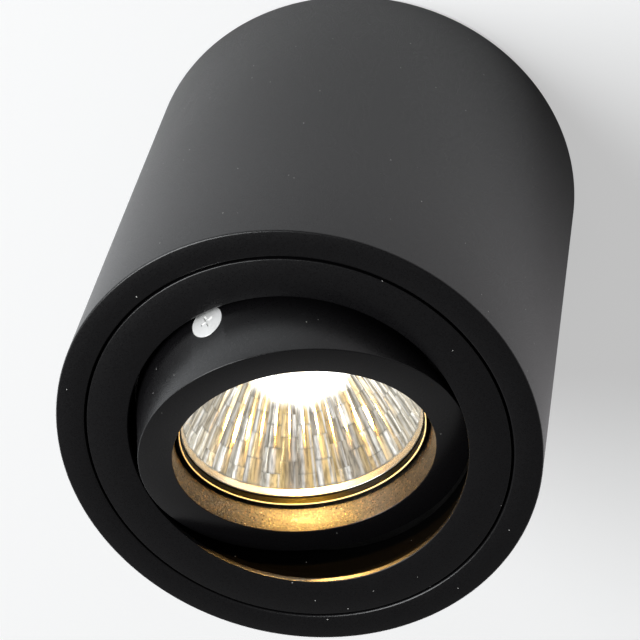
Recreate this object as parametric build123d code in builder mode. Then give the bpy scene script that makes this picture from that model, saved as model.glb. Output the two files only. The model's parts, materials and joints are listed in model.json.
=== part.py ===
from build123d import *
import os
from math import cos, radians, sin, sqrt, tan

os.makedirs("parts", exist_ok=True)

# A surface mounted ceiling spotlight for a twist-lock reflector lamp.  The origin is the centre of
# the cable hole in the ceiling face, +Z points up into the ceiling and the light hangs below it.
# The housing holds a trim that turns about Z, the trim holds a ring that tilts about two pins, and
# the ring holds the lamp.  The ring is drawn at the tilt that it rests at.

# ---------------------------------------------------------------------------------------------
# Driving dimensions, in millimetres and degrees
# ---------------------------------------------------------------------------------------------
edge_break = 0.4  # chamfer on the visible edges
flat_gap = 0.1  # between flat faces of pieces that slide on each other
loose_gap = 0.3  # between pieces that don't touch
pin_gap = 0.05  # radial, between a pin or screw and its hole
drive_width = 0.7  # of the slots and crosses in the screws' heads
drive_depth = 0.8

housing_radius = 48.0
housing_height = 102.4
housing_wall = 3.0
housing_rim = 5.74  # width of the housing's own front face, round the trim
seat_depth = 3.0  # recess that takes the trim's flange
ledge_reach = 3.66  # how far the ledge stands in from that recess
ledge_thickness = 4.0
ledge_fillet = 1.5

plate_thickness = 2.0
plate_gap = 0.4  # round the plate, inside the housing
lug_width = 14.0
lug_drop = 16.0
lug_reach = 8.0  # from the lug's outer face back to the whole disc
lug_gap = 1.0  # between the lug and the housing's wall
bend_radius = 1.0
ceiling_slot_spacing = 60.0
ceiling_slot_length = 12.0
ceiling_slot_width = 5.0

cable_radius = 4.5  # bore of the grommet
grommet_neck_radius = 9.0
grommet_flange_radius = 11.5
grommet_flange_height = 3.0
grommet_fillet = 1.2

tube_screw_radius = 1.95
tube_screw_head_radius = 3.7
tube_screw_drop = 9.0  # below the ceiling
tube_screw_length = 8.0
hex_recess_radius = 1.5
hex_recess_depth = 1.2

block_x = 21.5
block_width = 17.0
block_height = 8.0
tower_height = 5.0
tower_radius = 3.3
tower_offset = 4.5
pole_pitch = 9.0
pole_count = 3
block_end = 0.5  # beyond the outer poles' own pitch
block_corner = 1.0
tower_chamfer = 0.5
terminal_depth = 5.2  # from the plate's underside to the middle of a pole
terminal_tube_radius = 2.4
terminal_bore_radius = 1.6
terminal_tube_length = 14.0
terminal_screw_radius = 1.25
terminal_head_radius = 1.9
terminal_head_height = 1.6
terminal_head_sink = 1.2  # below the tower's open end
terminal_head_gap = 0.2
block_screw_radius = 1.4
block_screw_head_radius = 2.7
block_screw_head_height = 1.8

earth_x, earth_y = 18.0, 26.0
earth_stud_radius = 1.95
earth_stud_length = 12.0
earth_washer_thickness = 0.8
earth_washer_radius = 4.5
washer_teeth = 12
washer_tooth_radius = 0.45
eyelet_thickness = 0.8
eyelet_radius = 4.0
eyelet_neck = 3.0
eyelet_barrel_length = 4.4
nut_width = 7.0  # across the flats
nut_height = 3.2

lead_radius = 1.1
conductor_radius = 0.6
conductor_length = 5.0

trim_gap = 0.46  # radial, between the trim and the housing
trim_face = 8.2  # width of the trim's front face
sleeve_relief = 0.8  # how much wider the sleeve's bore is than the opening
sleeve_wall = 2.2
sleeve_depth = 12.0  # from the front face
sleeve_flat_depth = 0.25  # of the flats that the springs and pins sit on
sleeve_root_fillet = 0.8
spring_count = 3
spring_first_angle = 0.0  # from the lean of the ring
spring_width = 8.0
spring_thickness = 0.5
spring_fold = 0.9
spring_nose_fold = 0.6
spring_bulge = 4.6  # how far the spring stands out from its foot
spring_foot = 0.8  # how far it reaches in front of the tilt axis
spring_rise = 3.2  # above the sleeve's end
spring_rivet_height = 1.9  # behind the tilt axis
spring_heel = 1.7  # height of the bulge above the nose
nose_overhang = 0.9  # how far the nose reaches over the ledge
rivet_radius = 1.2
rivet_head_radius = 2.2
rivet_head_height = 0.9
rivet_head_taper = 20

pivot_depth = 6.97  # of the tilt axis, behind the front face
pin_radius = 1.5
pin_head_radius = 2.8
pin_head_height = 1.0
pin_engagement = 3.6  # how far a pin reaches into the tilting ring
washer_radius = 3.4
washer_recess = 0.3  # how far the washers sink into the tilting ring

rest_tilt = 21.4
lean_azimuth = 45.4  # the beam leans this way, from +X towards +Y
ring_front_reach = 7.64  # from the tilt axis to the ring's front face
ring_rear_reach = 9.4
swing_gap = 0.18  # between the swinging ring and the trim's opening
front_web = 2.2
skirt_wall = 2.1
barrel_wall = 2.0
bore_flare = 0.45
lamp_recess = 5.69  # from the ring's front face to the lamp's
lip_reach = 0.8  # how far the seat's lip stands in under the lamp's rim
lip_thickness = 1.8
boss_width = 9.0
boss_length = 5.2  # of the pin's boss, behind the tilt axis

strap_width = 9.0
strap_thickness = 1.2
strap_foot = 1.8  # where the strap starts, behind the tilt axis
strap_knee = 11.0
strap_shoulder = 14.6  # half width of the strap at the lampholder
strap_bend = 2.5
strap_gap = 0.35  # between the strap and the ring's skirt
strap_screw_height = 4.8  # behind the tilt axis
strap_screw_radius = 1.45
strap_screw_head_radius = 3.45
strap_screw_length = 5.5
strap_screw_recess = 0.15  # of the head, under the ring's skirt
strap_cross = 3.2
countersink_angle = 100
screw_pad = 0.5  # round the screw's head, on the pad behind it

lamp_radius = 25.0
lamp_gap = 0.35
lamp_rim_thickness = 3.0
lamp_rim_width = 1.2  # round the mirror
lamp_rim_fillet = 0.4
glass_rebate = 0.4  # how much wider the front glass is than the mirror
glass_chamfer = 0.3
lamp_length = 46.0  # from the front to the face of the base
mirror_start = 1.7
mirror_depth = 27.0
mirror_neck_radius = 6.2
mirror_columns = 36
mirror_rows = 7
glass_wall = 0.9
shell_steps = 5  # points on the outer shell's curve
neck_outer_radius = 9.5
neck_end = 33.0
front_glass_thickness = 1.4
base_start = 29.0
base_rim_radius = 13.0
base_rim_height = 2.0
base_radius = 11.6
base_taper_end = 33.4
base_flat = 9.0  # half width across the base's flats
pin_spacing = 10.0  # between the lamp's two pins
lamp_pin_radius = 1.25
lamp_pin_head_radius = 2.4
lamp_pin_head_height = 3.0
lamp_pin_head_fillet = 0.8
lamp_pin_root = 3.9  # of the pin, inside the base
capsule_radius = 4.6
capsule_wall = 0.8
capsule_front = 9.0
capsule_end = 25.0
pinch_length = 13.0
pinch_width = 8.4
pinch_thickness = 3.0
filament_radius = 0.9
filament_length = 5.0
filament_front = 14.5
filament_leg_radius = 0.3
filament_leg_offset = 1.5
pinch_gap = 0.2

holder_radius = 13.0
holder_height = 14.0
holder_cover = 2.6
holder_chamfer = 0.8
cavity_depth = 7.2
cavity_radius = 3.0
entry_radius = 2.8
slot_width = 3.2
twist = 25.0  # from inserting the lamp to its lock
holder_screw_offset = 9.0
holder_screw_radius = 1.45
holder_screw_head_radius = 2.7
holder_screw_head_height = 2.0
holder_nut_width = 5.5
holder_nut_height = 2.4
holder_head_gap = 0.2
thread_end = 1.0  # of a screw, beyond its nut
lead_hole_reach = 2.0  # of the leads' holes, out from the lamp's pins
contact_thickness = 0.5
contact_width = 3.6
contact_offset = 0.9  # of the contact's middle, out from the lamp's pin
crimp_radius = 1.7
crimp_length = 2.2
crimp_inset = 1.5  # of the crimp's pocket, in from the lead's hole
crimp_side_gap = 1.8

# ---------------------------------------------------------------------------------------------
# Sizes and places that follow from them
# ---------------------------------------------------------------------------------------------
front_z = -housing_height
bore_radius = housing_radius - housing_wall
seat_radius = housing_radius - housing_rim
ledge_radius = seat_radius - ledge_reach
ledge_z = front_z + seat_depth
ledge_top_z = ledge_z + ledge_thickness

trim_radius = seat_radius - trim_gap
opening_radius = trim_radius - trim_face
flange_thickness = seat_depth - flat_gap
sleeve_bore = opening_radius + sleeve_relief
sleeve_radius = sleeve_bore + sleeve_wall
sleeve_top = sleeve_depth - pivot_depth

# The ring's corners stay on a ball about the tilt axis that passes through the trim's opening.
swing_radius = opening_radius - swing_gap
ring_radius = sqrt(swing_radius**2 - ring_front_reach**2)
ring_rear_radius = sqrt(swing_radius**2 - ring_rear_reach**2)
skirt_bore = ring_radius - skirt_wall
lamp_bore = lamp_radius + lamp_gap
barrel_radius = lamp_bore + barrel_wall
lamp_front = lamp_recess - ring_front_reach  # behind the tilt axis, so it is negative
lip_front = lamp_front + lamp_rim_thickness + flat_gap
lip_radius = lamp_radius - lip_reach
mirror_radius = lamp_radius - lamp_rim_width

# Frames: the trim's stands on the tilt axis, with X towards the lean and Y along the tilt axis.
# The ring's is that frame tilted, with +Z towards the lampholder.  The lamp's starts at its front.
trim_frame = Plane(
    origin=(0, 0, front_z + pivot_depth),
    x_dir=(cos(radians(lean_azimuth)), sin(radians(lean_azimuth)), 0),
    z_dir=(0, 0, 1),
)
ring_frame = Plane(trim_frame.location * Location((0, 0, 0), (0, -rest_tilt, 0)))
ring_axis = Axis(ring_frame.origin, ring_frame.z_dir)
lamp_frame = ring_frame.offset(lamp_front)
lamp_axis = Axis(lamp_frame.origin, lamp_frame.z_dir)


def section(frame, angle=0.0):
    """The plane through a frame's Z axis, with X outwards at an angle and Y along that axis."""
    return Plane(frame.location * Location((0, 0, 0), (0, 0, angle)) * Location((0, 0, 0), (90, 0, 0)))


def side(frame, angle, height, reach):
    """The plane that faces outwards at an angle round a frame's Z axis, X towards its front."""
    turned = frame.location * Location((0, 0, height), (0, 0, angle))
    return Plane(turned * Location((reach, 0, 0), (0, 90, 0)))


def place(frame, x, y, z):
    """A point of a frame, in the object's own axes."""
    return frame.from_local_coords(Vector(x, y, z))


def bend_radii(points):
    """The largest bends that fit a route's corners, each 0.45 of its shorter run."""
    radii = []
    for before, corner, after in zip(points, points[1:], points[2:]):
        run_in, run_out = corner - before, after - corner
        turn = radians(run_in.get_angle(run_out))
        radii.append(0.45 * min(run_in.length, run_out.length) / tan(turn / 2))
    return radii


# ---------------------------------------------------------------------------------------------
# Housing
# ---------------------------------------------------------------------------------------------
tube_screw_z = -tube_screw_drop
tube_screw_frames = [side(Plane.XY, angle, tube_screw_z, housing_radius) for angle in (0, 180)]

with BuildPart() as housing_tube:
    with BuildSketch(Plane.XZ):
        with BuildLine():
            Polyline(
                (bore_radius, 0),
                (housing_radius, 0),
                (housing_radius, front_z),
                (seat_radius, front_z),
                (seat_radius, ledge_z),
                (ledge_radius, ledge_z),
                (ledge_radius, ledge_top_z),
                (bore_radius, ledge_top_z),
                close=True,
            )
        make_face()
    revolve(axis=Axis.Z)
    front_edges = housing_tube.edges().filter_by(GeomType.CIRCLE).group_by(Axis.Z)[0]
    chamfer(front_edges, length=edge_break)
    ceiling_edges = housing_tube.edges().filter_by(GeomType.CIRCLE).group_by(Axis.Z)[-1]
    chamfer(ceiling_edges.sort_by(SortBy.RADIUS)[-1], length=edge_break)
    ledge_corner = housing_tube.edges().filter_by(GeomType.CIRCLE).filter_by_position(
        Axis.Z, ledge_top_z - flat_gap, ledge_top_z + flat_gap
    )
    fillet(ledge_corner.sort_by(SortBy.RADIUS)[-1], radius=ledge_fillet)
    with Locations(*[frame.location for frame in tube_screw_frames]):
        CounterSinkHole(
            radius=tube_screw_radius + loose_gap,
            counter_sink_radius=tube_screw_head_radius + loose_gap,
            depth=2 * housing_wall,
            counter_sink_angle=90,
        )
housing_tube.part.label = "housing_tube"

plate_radius = bore_radius - plate_gap
lug_face = bore_radius - lug_gap
lug_shoulder = lug_face - lug_reach
block_screw_ys = [(pole - (pole_count - 2) / 2) * pole_pitch for pole in range(pole_count - 1)]
pole_ys = [(pole - (pole_count - 1) / 2) * pole_pitch for pole in range(pole_count)]

with BuildPart() as mounting_plate:
    with BuildSketch(Plane.XY.offset(-plate_thickness)):
        Circle(plate_radius)
        with Locations((lug_shoulder + lug_reach, 0), (-lug_shoulder - lug_reach, 0)):
            Rectangle(2 * lug_reach, lug_width + 2 * plate_thickness, mode=Mode.SUBTRACT)
        with GridLocations(0, ceiling_slot_spacing, 1, 2):
            SlotOverall(ceiling_slot_length, ceiling_slot_width, rotation=90, mode=Mode.SUBTRACT)
        Circle(grommet_neck_radius + pin_gap, mode=Mode.SUBTRACT)
    extrude(amount=plate_thickness)
    with BuildSketch(Plane.XZ):
        with BuildLine():
            Polyline(
                (lug_shoulder - plate_thickness, 0),
                (lug_face, 0),
                (lug_face, -lug_drop),
                (lug_face - plate_thickness, -lug_drop),
                (lug_face - plate_thickness, -plate_thickness),
                (lug_shoulder - plate_thickness, -plate_thickness),
                close=True,
            )
        make_face()
    extrude(amount=lug_width / 2, both=True)
    bends = mounting_plate.edges().filter_by(Axis.Y).filter_by(lambda e: e.length > lug_width - edge_break)
    for inset, radius in ((0, bend_radius + plate_thickness), (plate_thickness, bend_radius)):
        bend_x = lug_face - inset
        bend = bends.filter_by_position(Axis.X, bend_x - flat_gap, bend_x + flat_gap)
        fillet(bend.sort_by(Axis.Z)[-1], radius=radius)
    mirror(about=Plane.YZ)
    with Locations(*[side(Plane.XY, angle, tube_screw_z, lug_face).location for angle in (0, 180)]):
        Hole(radius=tube_screw_radius + pin_gap, depth=2 * plate_thickness)
    with BuildSketch(Plane.XY.offset(-plate_thickness)):
        with Locations((earth_x, earth_y)):
            Circle(earth_stud_radius + pin_gap)
        with Locations(*[(block_x, y) for y in block_screw_ys]):
            Circle(block_screw_radius + pin_gap)
    extrude(amount=plate_thickness, mode=Mode.SUBTRACT)
mounting_plate.part.label = "mounting_plate"

grommet_bottom = -plate_thickness - grommet_flange_height
with BuildPart() as cable_grommet:
    with BuildSketch(Plane.XZ):
        with BuildLine():
            Polyline(
                (cable_radius, 0),
                (grommet_neck_radius, 0),
                (grommet_neck_radius, -plate_thickness),
                (grommet_flange_radius, -plate_thickness),
                (grommet_flange_radius, grommet_bottom),
                (cable_radius, grommet_bottom),
                close=True,
            )
        make_face()
    revolve(axis=Axis.Z)
    rim_edges = cable_grommet.edges().filter_by(GeomType.CIRCLE).group_by(Axis.Z)[0]
    fillet(rim_edges.sort_by(SortBy.RADIUS)[-1], radius=grommet_fillet)
cable_grommet.part.label = "cable_grommet"

with BuildPart() as tube_screws:
    for frame in tube_screw_frames:
        head_height = tube_screw_head_radius - tube_screw_radius
        with BuildSketch(frame.offset(-flat_gap)):
            Circle(tube_screw_head_radius)
        extrude(amount=-head_height, taper=45)
        with BuildSketch(frame.offset(-flat_gap)):
            Circle(tube_screw_radius)
        extrude(amount=-tube_screw_length)
        with BuildSketch(frame.offset(-flat_gap)):
            RegularPolygon(radius=hex_recess_radius, side_count=6)
        extrude(amount=-hex_recess_depth, mode=Mode.SUBTRACT)
tube_screws.part.label = "tube_screws"

# The terminal block hangs under the plate, with its poles across it and the screws facing down.
block_length = pole_count * pole_pitch + 2 * block_end
block_z = -plate_thickness - block_height
pole_z = -plate_thickness - terminal_depth
tower_z = block_z - tower_height
tower_places = [(block_x + dx, y) for y in pole_ys for dx in (-tower_offset, tower_offset)]

with BuildPart() as terminal_block:
    with BuildSketch(Plane.XY.offset(block_z)):
        with Locations((block_x, 0)):
            RectangleRounded(block_width, block_length, block_corner)
    extrude(amount=block_height)
    with BuildSketch(Plane.XY.offset(tower_z)):
        with Locations(*tower_places):
            Circle(tower_radius)
    extrude(amount=tower_height)
    chamfer(terminal_block.edges().filter_by(GeomType.CIRCLE).group_by(Axis.Z)[0], length=tower_chamfer)
    with BuildSketch(Plane.XY.offset(tower_z)):
        with Locations(*tower_places):
            Circle(terminal_head_radius + terminal_head_gap)
    extrude(amount=-tower_z + pole_z, mode=Mode.SUBTRACT)
    for y in pole_ys:
        with BuildSketch(Plane.YZ.offset(block_x - block_width)):
            with Locations((y, pole_z)):
                Circle(terminal_tube_radius + pin_gap)
        extrude(amount=2 * block_width, mode=Mode.SUBTRACT)
    with BuildSketch(Plane.XY.offset(block_z)):
        with Locations(*[(block_x, y) for y in block_screw_ys]):
            Circle(block_screw_radius + 2 * pin_gap)
    extrude(amount=block_height, mode=Mode.SUBTRACT)
terminal_block.part.label = "terminal_block"

with BuildPart() as terminal_tubes:
    for y in pole_ys:
        with BuildSketch(Plane.YZ.offset(block_x - terminal_tube_length / 2)):
            with Locations((y, pole_z)):
                Circle(terminal_tube_radius)
                Circle(terminal_bore_radius, mode=Mode.SUBTRACT)
        extrude(amount=terminal_tube_length)
    with BuildSketch(Plane.XY.offset(pole_z - terminal_tube_radius)):
        with Locations(*tower_places):
            Circle(terminal_screw_radius + pin_gap)
    extrude(amount=terminal_tube_radius, mode=Mode.SUBTRACT)
terminal_tubes.part.label = "terminal_tubes"

terminal_screw_tip = pole_z - conductor_radius - loose_gap
terminal_head_z = tower_z + terminal_head_sink
with BuildPart() as terminal_screws:
    with BuildSketch(Plane.XY.offset(terminal_head_z)):
        with Locations(*tower_places):
            Circle(terminal_head_radius)
    extrude(amount=terminal_head_height)
    with BuildSketch(Plane.XY.offset(terminal_head_z)):
        with Locations(*tower_places):
            Circle(terminal_screw_radius)
    extrude(amount=terminal_screw_tip - terminal_head_z)
    with BuildSketch(Plane.XY.offset(terminal_head_z)):
        with Locations(*tower_places):
            Rectangle(3 * terminal_head_radius, drive_width)
    extrude(amount=drive_depth, mode=Mode.SUBTRACT)
terminal_screws.part.label = "terminal_screws"

with BuildPart() as terminal_fixing_screws:
    with BuildSketch(Plane.XY.offset(block_z - block_screw_head_height)):
        with Locations(*[(block_x, y) for y in block_screw_ys]):
            Circle(block_screw_head_radius)
    extrude(amount=block_screw_head_height)
    with BuildSketch(Plane.XY.offset(block_z)):
        with Locations(*[(block_x, y) for y in block_screw_ys]):
            Circle(block_screw_radius)
    extrude(amount=-block_z - loose_gap)
    with BuildSketch(Plane.XY.offset(block_z - block_screw_head_height)):
        with Locations(*[(block_x, y) for y in block_screw_ys]):
            Rectangle(3 * block_screw_head_radius, drive_width)
    extrude(amount=drive_depth, mode=Mode.SUBTRACT)
terminal_fixing_screws.part.label = "terminal_fixing_screws"

# The earth connection: a stud in the plate, then the washer, the lead's eyelet and the nut.
eyelet_z = -plate_thickness - earth_washer_thickness - eyelet_thickness
nut_z = eyelet_z - nut_height
earth_place = Location((earth_x, earth_y))
with BuildPart() as earth_stud:
    with BuildSketch(Plane.XY):
        with Locations(earth_place):
            Circle(earth_stud_radius)
    extrude(amount=-earth_stud_length)
    tip = earth_stud.edges().filter_by(GeomType.CIRCLE).group_by(Axis.Z)[0]
    chamfer(tip, length=edge_break)
earth_stud.part.label = "earth_stud"

with BuildPart() as earth_washer:
    with BuildSketch(Plane.XY.offset(-plate_thickness)):
        with Locations(earth_place):
            Circle(earth_washer_radius)
            Circle(earth_stud_radius + pin_gap, mode=Mode.SUBTRACT)
        with Locations(earth_place):
            with PolarLocations(earth_washer_radius, washer_teeth):
                Circle(washer_tooth_radius, mode=Mode.SUBTRACT)
    extrude(amount=-earth_washer_thickness)
earth_washer.part.label = "earth_washer"

eyelet_barrel_x = earth_x + eyelet_radius + 1.0
eyelet_barrel_z = eyelet_z - crimp_radius + eyelet_thickness
with BuildPart() as earth_eyelet:
    with BuildSketch(Plane.XY.offset(eyelet_z)):
        with Locations(earth_place):
            Circle(eyelet_radius)
        with Locations((earth_x + eyelet_radius, earth_y)):
            Rectangle(2 * eyelet_radius, eyelet_neck)
        with Locations(earth_place):
            Circle(earth_stud_radius + pin_gap, mode=Mode.SUBTRACT)
    extrude(amount=eyelet_thickness)
    with BuildSketch(Plane.YZ.offset(eyelet_barrel_x)):
        with Locations((earth_y, eyelet_barrel_z)):
            Circle(crimp_radius)
    extrude(amount=eyelet_barrel_length)
    with BuildSketch(Plane.YZ.offset(eyelet_barrel_x)):
        with Locations((earth_y, eyelet_barrel_z)):
            Circle(lead_radius)
    extrude(amount=eyelet_barrel_length, mode=Mode.SUBTRACT)
earth_eyelet.part.label = "earth_eyelet"

with BuildPart() as earth_nut:
    with BuildSketch(Plane.XY.offset(nut_z)):
        with Locations(earth_place):
            RegularPolygon(radius=nut_width / 2, side_count=6, major_radius=False)
            Circle(earth_stud_radius + pin_gap, mode=Mode.SUBTRACT)
    extrude(amount=nut_height)
earth_nut.part.label = "earth_nut"

block_face = block_x + block_width / 2
earth_route = [
    Vector(block_face, pole_ys[2], pole_z),
    Vector(block_face + 5.5, pole_ys[2] + 0.5, pole_z - 0.5),
    Vector(block_face + 6.0, pole_ys[2] + 7.0, pole_z - 1.0),
    Vector(block_face + 4.0, earth_y - 2.5, eyelet_barrel_z - 0.5),
    Vector(eyelet_barrel_x + eyelet_barrel_length + 1.5, earth_y, eyelet_barrel_z),
    Vector(eyelet_barrel_x + 1.0, earth_y, eyelet_barrel_z),
]
with BuildPart() as earth_lead:
    with BuildLine() as earth_path:
        FilletPolyline(*earth_route, radius=bend_radii(earth_route))
    with BuildSketch(Plane(origin=earth_path.line @ 0, z_dir=earth_path.line % 0)):
        Circle(lead_radius - pin_gap)
    sweep(path=earth_path.line)
    with BuildSketch(Plane.YZ.offset(block_face + pin_gap)):
        with Locations((pole_ys[2], pole_z)):
            Circle(conductor_radius)
    extrude(amount=-conductor_length)
earth_lead.part.label = "earth_lead"

# ---------------------------------------------------------------------------------------------
# Trim
# ---------------------------------------------------------------------------------------------
flange_top = flange_thickness - pivot_depth
sleeve_flat = sleeve_radius - sleeve_flat_depth
spring_angles = [spring_first_angle + 360 / spring_count * n for n in range(spring_count)]
pin_angles = (90, 270)

with BuildPart() as trim_ring:
    with BuildSketch(section(trim_frame)):
        with BuildLine():
            Polyline(
                (opening_radius, -pivot_depth),
                (trim_radius, -pivot_depth),
                (trim_radius, flange_top),
                (sleeve_radius, flange_top),
                (sleeve_radius, sleeve_top),
                (sleeve_bore, sleeve_top),
                (sleeve_bore, flange_top),
                (opening_radius, flange_top),
                close=True,
            )
        make_face()
    revolve(axis=Axis.Z)
    trim_edges = trim_ring.edges().filter_by(GeomType.CIRCLE).group_by(Axis.Z)
    chamfer(trim_edges[0], length=edge_break / 2)
    fillet(trim_edges[-1].sort_by(SortBy.RADIUS)[-1], radius=edge_break)
    root_edges = trim_ring.edges().filter_by(GeomType.CIRCLE).filter_by_position(
        Axis.Z, front_z + flange_thickness - flat_gap, front_z + flange_thickness + flat_gap
    )
    fillet(root_edges.sort_by(SortBy.RADIUS)[-2], radius=sleeve_root_fillet)
    for angle in spring_angles:
        with BuildSketch(side(trim_frame, angle, 0, sleeve_flat)):
            with Locations((-sleeve_top / 2, 0)):
                Rectangle(sleeve_top + 2 * pin_head_radius, spring_width + 2 * loose_gap)
        extrude(amount=sleeve_wall, mode=Mode.SUBTRACT)
        with BuildSketch(side(trim_frame, angle, spring_rivet_height, sleeve_radius)):
            Circle(rivet_radius + pin_gap)
        extrude(amount=-2 * sleeve_wall, mode=Mode.SUBTRACT)
    for angle in pin_angles:
        with BuildSketch(side(trim_frame, angle, 0, sleeve_flat)):
            Circle(pin_head_radius + loose_gap)
        extrude(amount=sleeve_wall, mode=Mode.SUBTRACT)
        with BuildSketch(side(trim_frame, angle, 0, sleeve_radius)):
            Circle(pin_radius + pin_gap)
        extrude(amount=-2 * sleeve_wall, mode=Mode.SUBTRACT)
trim_ring.part.label = "trim_ring"

# Each spring runs back from its rivet, folds outwards and comes forward again, so that its nose
# snaps over the ledge's inner edge and bears on the ledge from behind.
nose_height = -pivot_depth + seat_depth + ledge_thickness + spring_thickness / 2 + flat_gap
spring_line = sleeve_flat + spring_thickness / 2
spring_top = sleeve_top + spring_rise
spring_route = [
    (spring_line, -spring_foot),
    (spring_line, spring_top),
    (spring_line + 2 * spring_fold + flat_gap, spring_top),
    (spring_line + spring_bulge, nose_height + spring_heel),
    (ledge_radius + nose_overhang, nose_height),
]
with BuildPart() as trim_springs:
    for angle in spring_angles:
        with BuildSketch(section(trim_frame, angle)):
            with BuildLine():
                FilletPolyline(*spring_route, radius=(spring_fold, spring_fold, spring_nose_fold))
            trace(line_width=spring_thickness)
        extrude(amount=spring_width / 2, both=True)
        with BuildSketch(side(trim_frame, angle, spring_rivet_height, sleeve_radius)):
            Circle(rivet_radius + pin_gap)
        extrude(amount=2 * spring_thickness, both=True, mode=Mode.SUBTRACT)
trim_springs.part.label = "trim_springs"

rivet_seat = sleeve_flat + spring_thickness
with BuildPart() as spring_rivets:
    for angle in spring_angles:
        head_frame = side(trim_frame, angle, spring_rivet_height, rivet_seat)
        with BuildSketch(head_frame):
            Circle(rivet_head_radius)
        extrude(amount=rivet_head_height, taper=rivet_head_taper)
        with BuildSketch(head_frame):
            Circle(rivet_radius)
        extrude(amount=sleeve_bore + flat_gap - rivet_seat)
spring_rivets.part.label = "spring_rivets"

pin_tip = ring_radius - pin_engagement
with BuildPart() as pivot_pins:
    for angle in pin_angles:
        with BuildSketch(side(trim_frame, angle, 0, sleeve_flat)):
            Circle(pin_head_radius)
        extrude(amount=pin_head_height)
        with BuildSketch(side(trim_frame, angle, 0, sleeve_flat)):
            Circle(pin_radius)
        extrude(amount=pin_tip - sleeve_flat)
        with BuildSketch(side(trim_frame, angle, 0, sleeve_flat + pin_head_height)):
            Rectangle(drive_width, 3 * pin_head_radius)
        extrude(amount=-pin_head_height / 2, mode=Mode.SUBTRACT)
pivot_pins.part.label = "pivot_pins"

# The washers run between the sleeve's bore and a spot face on the ring, and hold the tilt.
washer_inner = sqrt(ring_radius**2 - washer_radius**2) - washer_recess
washer_outer = sqrt(sleeve_bore**2 - washer_radius**2) - pin_gap
with BuildPart() as friction_washers:
    for angle in pin_angles:
        with BuildSketch(side(trim_frame, angle, 0, washer_inner)):
            Circle(washer_radius)
            Circle(pin_radius + pin_gap, mode=Mode.SUBTRACT)
        extrude(amount=washer_outer - washer_inner)
friction_washers.part.label = "friction_washers"

# ---------------------------------------------------------------------------------------------
# Tilting ring
# ---------------------------------------------------------------------------------------------
strap_face = skirt_bore - strap_gap
strap_angles = (0, 180)
strap_screw_seat = ring_radius - strap_screw_recess

with BuildPart() as tilt_ring:
    with BuildSketch(section(ring_frame)):
        with BuildLine():
            Polyline(
                (lamp_bore + bore_flare, -ring_front_reach),
                (ring_radius, -ring_front_reach),
                (ring_radius, ring_front_reach),
                (ring_rear_radius, ring_rear_reach),
                (skirt_bore, ring_rear_reach),
                (skirt_bore, -ring_front_reach + front_web),
                (barrel_radius, -ring_front_reach + front_web),
                (barrel_radius, lip_front + lip_thickness),
                (lip_radius, lip_front + lip_thickness),
                (lip_radius, lip_front),
                (lamp_bore, lip_front),
                (lamp_bore, lamp_front),
                close=True,
            )
        make_face()
    revolve(axis=ring_axis)
    front_edges = tilt_ring.edges().filter_by(GeomType.CIRCLE).group_by(ring_axis)[0]
    chamfer(front_edges, length=edge_break / 2)
    for angle in pin_angles:
        with BuildSketch(side(ring_frame, angle, 0, lamp_bore + barrel_wall / 2)):
            with Locations((ring_front_reach / 2 - boss_length / 2, 0)):
                Rectangle(ring_front_reach + boss_length - front_web / 2, boss_width)
        extrude(amount=skirt_bore + skirt_wall / 2 - lamp_bore - barrel_wall / 2)
        with BuildSketch(side(ring_frame, angle, 0, washer_inner - flat_gap)):
            Circle(washer_radius + loose_gap)
        extrude(amount=2 * skirt_wall, mode=Mode.SUBTRACT)
        with BuildSketch(side(ring_frame, angle, 0, ring_radius)):
            Circle(pin_radius + pin_gap)
        extrude(amount=-pin_engagement - loose_gap, mode=Mode.SUBTRACT)
    for angle in strap_angles:
        with BuildSketch(side(ring_frame, angle, strap_screw_height, strap_face)):
            Rectangle(2 * (strap_screw_head_radius + screw_pad), strap_width + 2 * screw_pad)
        extrude(amount=skirt_wall)
        with Locations(side(ring_frame, angle, strap_screw_height, strap_screw_seat).location):
            CounterSinkHole(
                radius=strap_screw_radius + 2 * pin_gap,
                counter_sink_radius=strap_screw_head_radius + pin_gap,
                depth=2 * skirt_wall,
                counter_sink_angle=countersink_angle,
            )
tilt_ring.part.label = "tilt_ring"

holder_front = lamp_front + lamp_length + loose_gap
holder_rear = holder_front + holder_height
strap_line = strap_face - strap_thickness / 2
strap_top = holder_rear + strap_thickness / 2
strap_route = [
    (strap_line, strap_foot),
    (strap_line, strap_knee),
    (strap_shoulder, strap_top),
    (-strap_shoulder, strap_top),
    (-strap_line, strap_knee),
    (-strap_line, strap_foot),
]
with BuildPart() as holder_strap:
    with BuildSketch(section(ring_frame)):
        with BuildLine():
            FilletPolyline(*strap_route, radius=strap_bend)
        trace(line_width=strap_thickness)
    extrude(amount=strap_width / 2, both=True)
    for angle in strap_angles:
        with BuildSketch(side(ring_frame, angle, strap_screw_height, strap_line)):
            Circle(strap_screw_radius + pin_gap)
        extrude(amount=strap_thickness, both=True, mode=Mode.SUBTRACT)
    with BuildSketch(ring_frame.offset(strap_top)):
        with Locations((holder_screw_offset, 0), (-holder_screw_offset, 0)):
            Circle(holder_screw_radius + pin_gap)
    extrude(amount=strap_thickness, both=True, mode=Mode.SUBTRACT)
holder_strap.part.label = "holder_strap"

strap_head_height = (strap_screw_head_radius - strap_screw_radius) / tan(radians(countersink_angle / 2))
with BuildPart() as strap_screws:
    for angle in strap_angles:
        head_frame = side(ring_frame, angle, strap_screw_height, strap_screw_seat)
        with BuildSketch(head_frame):
            Circle(strap_screw_head_radius - pin_gap)
        extrude(amount=-strap_head_height, taper=countersink_angle / 2)
        with BuildSketch(head_frame):
            Circle(strap_screw_radius)
        extrude(amount=-strap_screw_length)
        with BuildSketch(head_frame):
            Rectangle(strap_cross, drive_width)
            Rectangle(drive_width, strap_cross)
        extrude(amount=-drive_depth, mode=Mode.SUBTRACT)
strap_screws.part.label = "strap_screws"

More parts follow.
